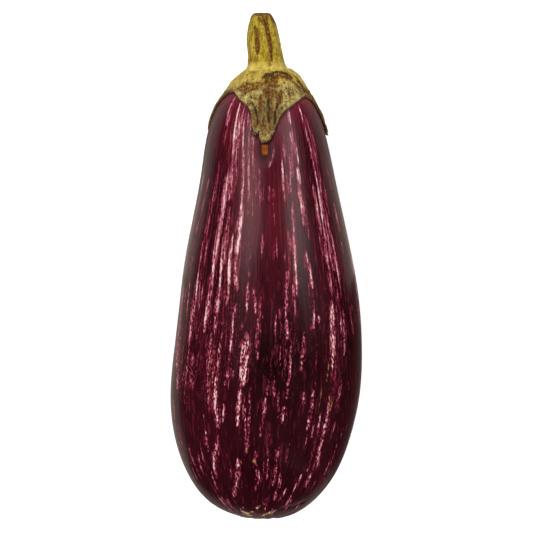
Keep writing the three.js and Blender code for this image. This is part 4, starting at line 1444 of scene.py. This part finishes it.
tab.data.materials.append(tab_brown())
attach(tab, "root")


# The studio, which is no part of the eggplant: a plain pale floor just under it, soft light and the
# camera. The floor gives a little light of its own, so that it stays pale to its edges.
FLOOR_SIZE = 6.0
FLOOR_DROP = 0.0002
FLOOR_GLOW = 0.17


def pale_floor():
    material, tree, shader = surface("pale_floor")
    place = add(tree, "ShaderNodeTexCoord").outputs["Object"]
    grain = add(tree, "ShaderNodeTexNoise", {"Vector": place, "Scale": 3.0}).outputs["Fac"]
    feed(tree, shader, {
        "Base Color": ramp(tree, grain, (0.0, 248, 248, 248), (1.0, 251, 251, 251)),
        "Roughness": 0.8,
        "Specular IOR Level": 0.1,
        "Emission Color": (1, 1, 1, 1),
        "Emission Strength": FLOOR_GLOW,
    })
    return material


floor_mesh = bpy.data.meshes.new("floor")
floor_corners = [
    (x * FLOOR_SIZE / 2, y * FLOOR_SIZE / 2, -FLOOR_DROP) for x, y in ((-1, -1), (1, -1), (1, 1), (-1, 1))
]
floor_mesh.from_pydata(floor_corners, [], [(0, 1, 2, 3)])
floor = bpy.data.objects.new("floor", floor_mesh)
bpy.context.scene.collection.objects.link(floor)
floor.data.materials.append(pale_floor())
floor.visible_glossy = False

LIT_MIDDLE = Vector((0, 0, 0.04))


def softbox(name, place, size, power, colour=(1, 1, 1)):
    """A rectangular area light at a place in metres, facing the eggplant."""
    data = bpy.data.lights.new(name, "AREA")
    data.shape = "RECTANGLE"
    data.size, data.size_y = size
    data.energy = power
    data.color = colour
    light = bpy.data.objects.new(name, data)
    light.location = place
    light.rotation_euler = (Vector(place) - LIT_MIDDLE).to_track_quat("Z", "Y").to_euler()
    bpy.context.scene.collection.objects.link(light)
    return light


def fade_sideways(light):
    """Lets an area light fade towards its sides, as a curtained window does."""
    light.data.use_nodes = True
    tree = light.data.node_tree
    inside = add(tree, "ShaderNodeNewGeometry").outputs["Parametric"]
    aside = add(tree, "ShaderNodeSeparateXYZ", {"Vector": inside}).outputs["X"]
    off_middle = math_node(tree, "MULTIPLY_ADD", aside, 2.0, -1.0)
    fade = math_node(tree, "SUBTRACT", 1.0, times(tree, off_middle, off_middle))
    tree.links.new(times(tree, fade, fade), tree.nodes["Emission"].inputs["Strength"])


# Wide soft light, which the skin doesn't mirror, and two windows, which it does. Each has its place,
# size and power.
for name, place, size, power in (
    ("key_left", (-0.8, 0.6, 0.7), (1.1, 1.0), 8),
    ("fill_right", (0.9, -0.3, 0.6), (1.0, 1.0), 4),
    ("overhead", (0.0, -0.1, 1.4), (1.8, 1.8), 14),
):
    softbox(name, place, size, power).visible_glossy = False
fade_sideways(softbox("window_left", (-0.5, 0.75, 1.02), (1.35, 0.52), 4.2))
fade_sideways(softbox("window_right", (0.88, 0.83, 0.91), (1.36, 0.66), 6.5))

# The pale table beside the eggplant, which only the skin's flanks mirror.
TABLE_COLOUR = (1.0, 0.84, 0.74)
for name, place, size, power in (
    ("table_left", (-0.087, 0.06, 0.001), (0.085, 0.13), 0.0165),
    ("table_right", (0.087, 0.06, 0.001), (0.085, 0.13), 0.012),
    ("table_low_left", (-0.087, -0.065, 0.001), (0.085, 0.12), 0.0088),
    ("table_end", (0.0, -0.19, 0.001), (0.16, 0.13), 0.0118),
):
    table = softbox(name, place, size, power, TABLE_COLOUR)
    table.rotation_euler = (math.pi, 0, 0)
    table.visible_diffuse = False
    table.visible_camera = False

# The room's pale wall on the right, far dimmer than a window.
wall = softbox("wall_right", (0.9, -0.3, 0.6), (1.2, 1.0), 0.6)
wall.visible_diffuse = False

# The room is an even pale light. What the skin mirrors of it is dim, but for the table below.
ROOM_LIGHT = 0.7
ROOM_MIRRORED = 0.012
TABLE_MIRRORED = 0.26
TABLE_FALL = 7.0
world = bpy.data.worlds.new("studio")
world.use_nodes = True
room = world.node_tree
direction = add(room, "ShaderNodeTexCoord").outputs["Generated"]
upward = add(room, "ShaderNodeSeparateXYZ", {"Vector": direction}).outputs["Z"]
downward = math_node(room, "MAXIMUM", math_node(room, "MULTIPLY", upward, -1.0), 0.0)
beside = math_node(room, "POWER", downward, TABLE_FALL)
dim = math_node(room, "MULTIPLY_ADD", beside, TABLE_MIRRORED, ROOM_MIRRORED)
glossy = add(room, "ShaderNodeLightPath").outputs["Is Glossy Ray"]
even = math_node(room, "MULTIPLY", math_node(room, "SUBTRACT", 1.0, glossy), ROOM_LIGHT)
feed(room, room.nodes["Background"], {
    "Color": mix(room, glossy, (1, 1, 1, 1), (*TABLE_COLOUR, 1)),
    "Strength": math_node(room, "MULTIPLY_ADD", glossy, dim, even),
})
bpy.context.scene.world = world

# The camera, which looks straight down on the axis. The picture is 533 pixels wide, of 0.45 mm each.
VIEW_WIDTH = 533 * 0.45
VIEW_ASIDE = 0.18
SENSOR = 36.0
camera_data = bpy.data.cameras.new("camera")
camera_data.sensor_width = SENSOR
camera_data.lens = SENSOR * VIEW_DISTANCE / VIEW_WIDTH
camera = bpy.data.objects.new("camera", camera_data)
camera.rotation_euler = (-REST_TILT, 0, 0)
toward = Vector((0, math.sin(REST_TILT), math.cos(REST_TILT)))
aim = lay_down(np.array([[VIEW_ASIDE, VIEW_MIDDLE, 0.0]]))[0]
camera.location = Vector(aim) + VIEW_DISTANCE * MM * toward
bpy.context.scene.collection.objects.link(camera)
bpy.context.scene.camera = camera
bpy.context.scene.view_settings.view_transform = "Standard"
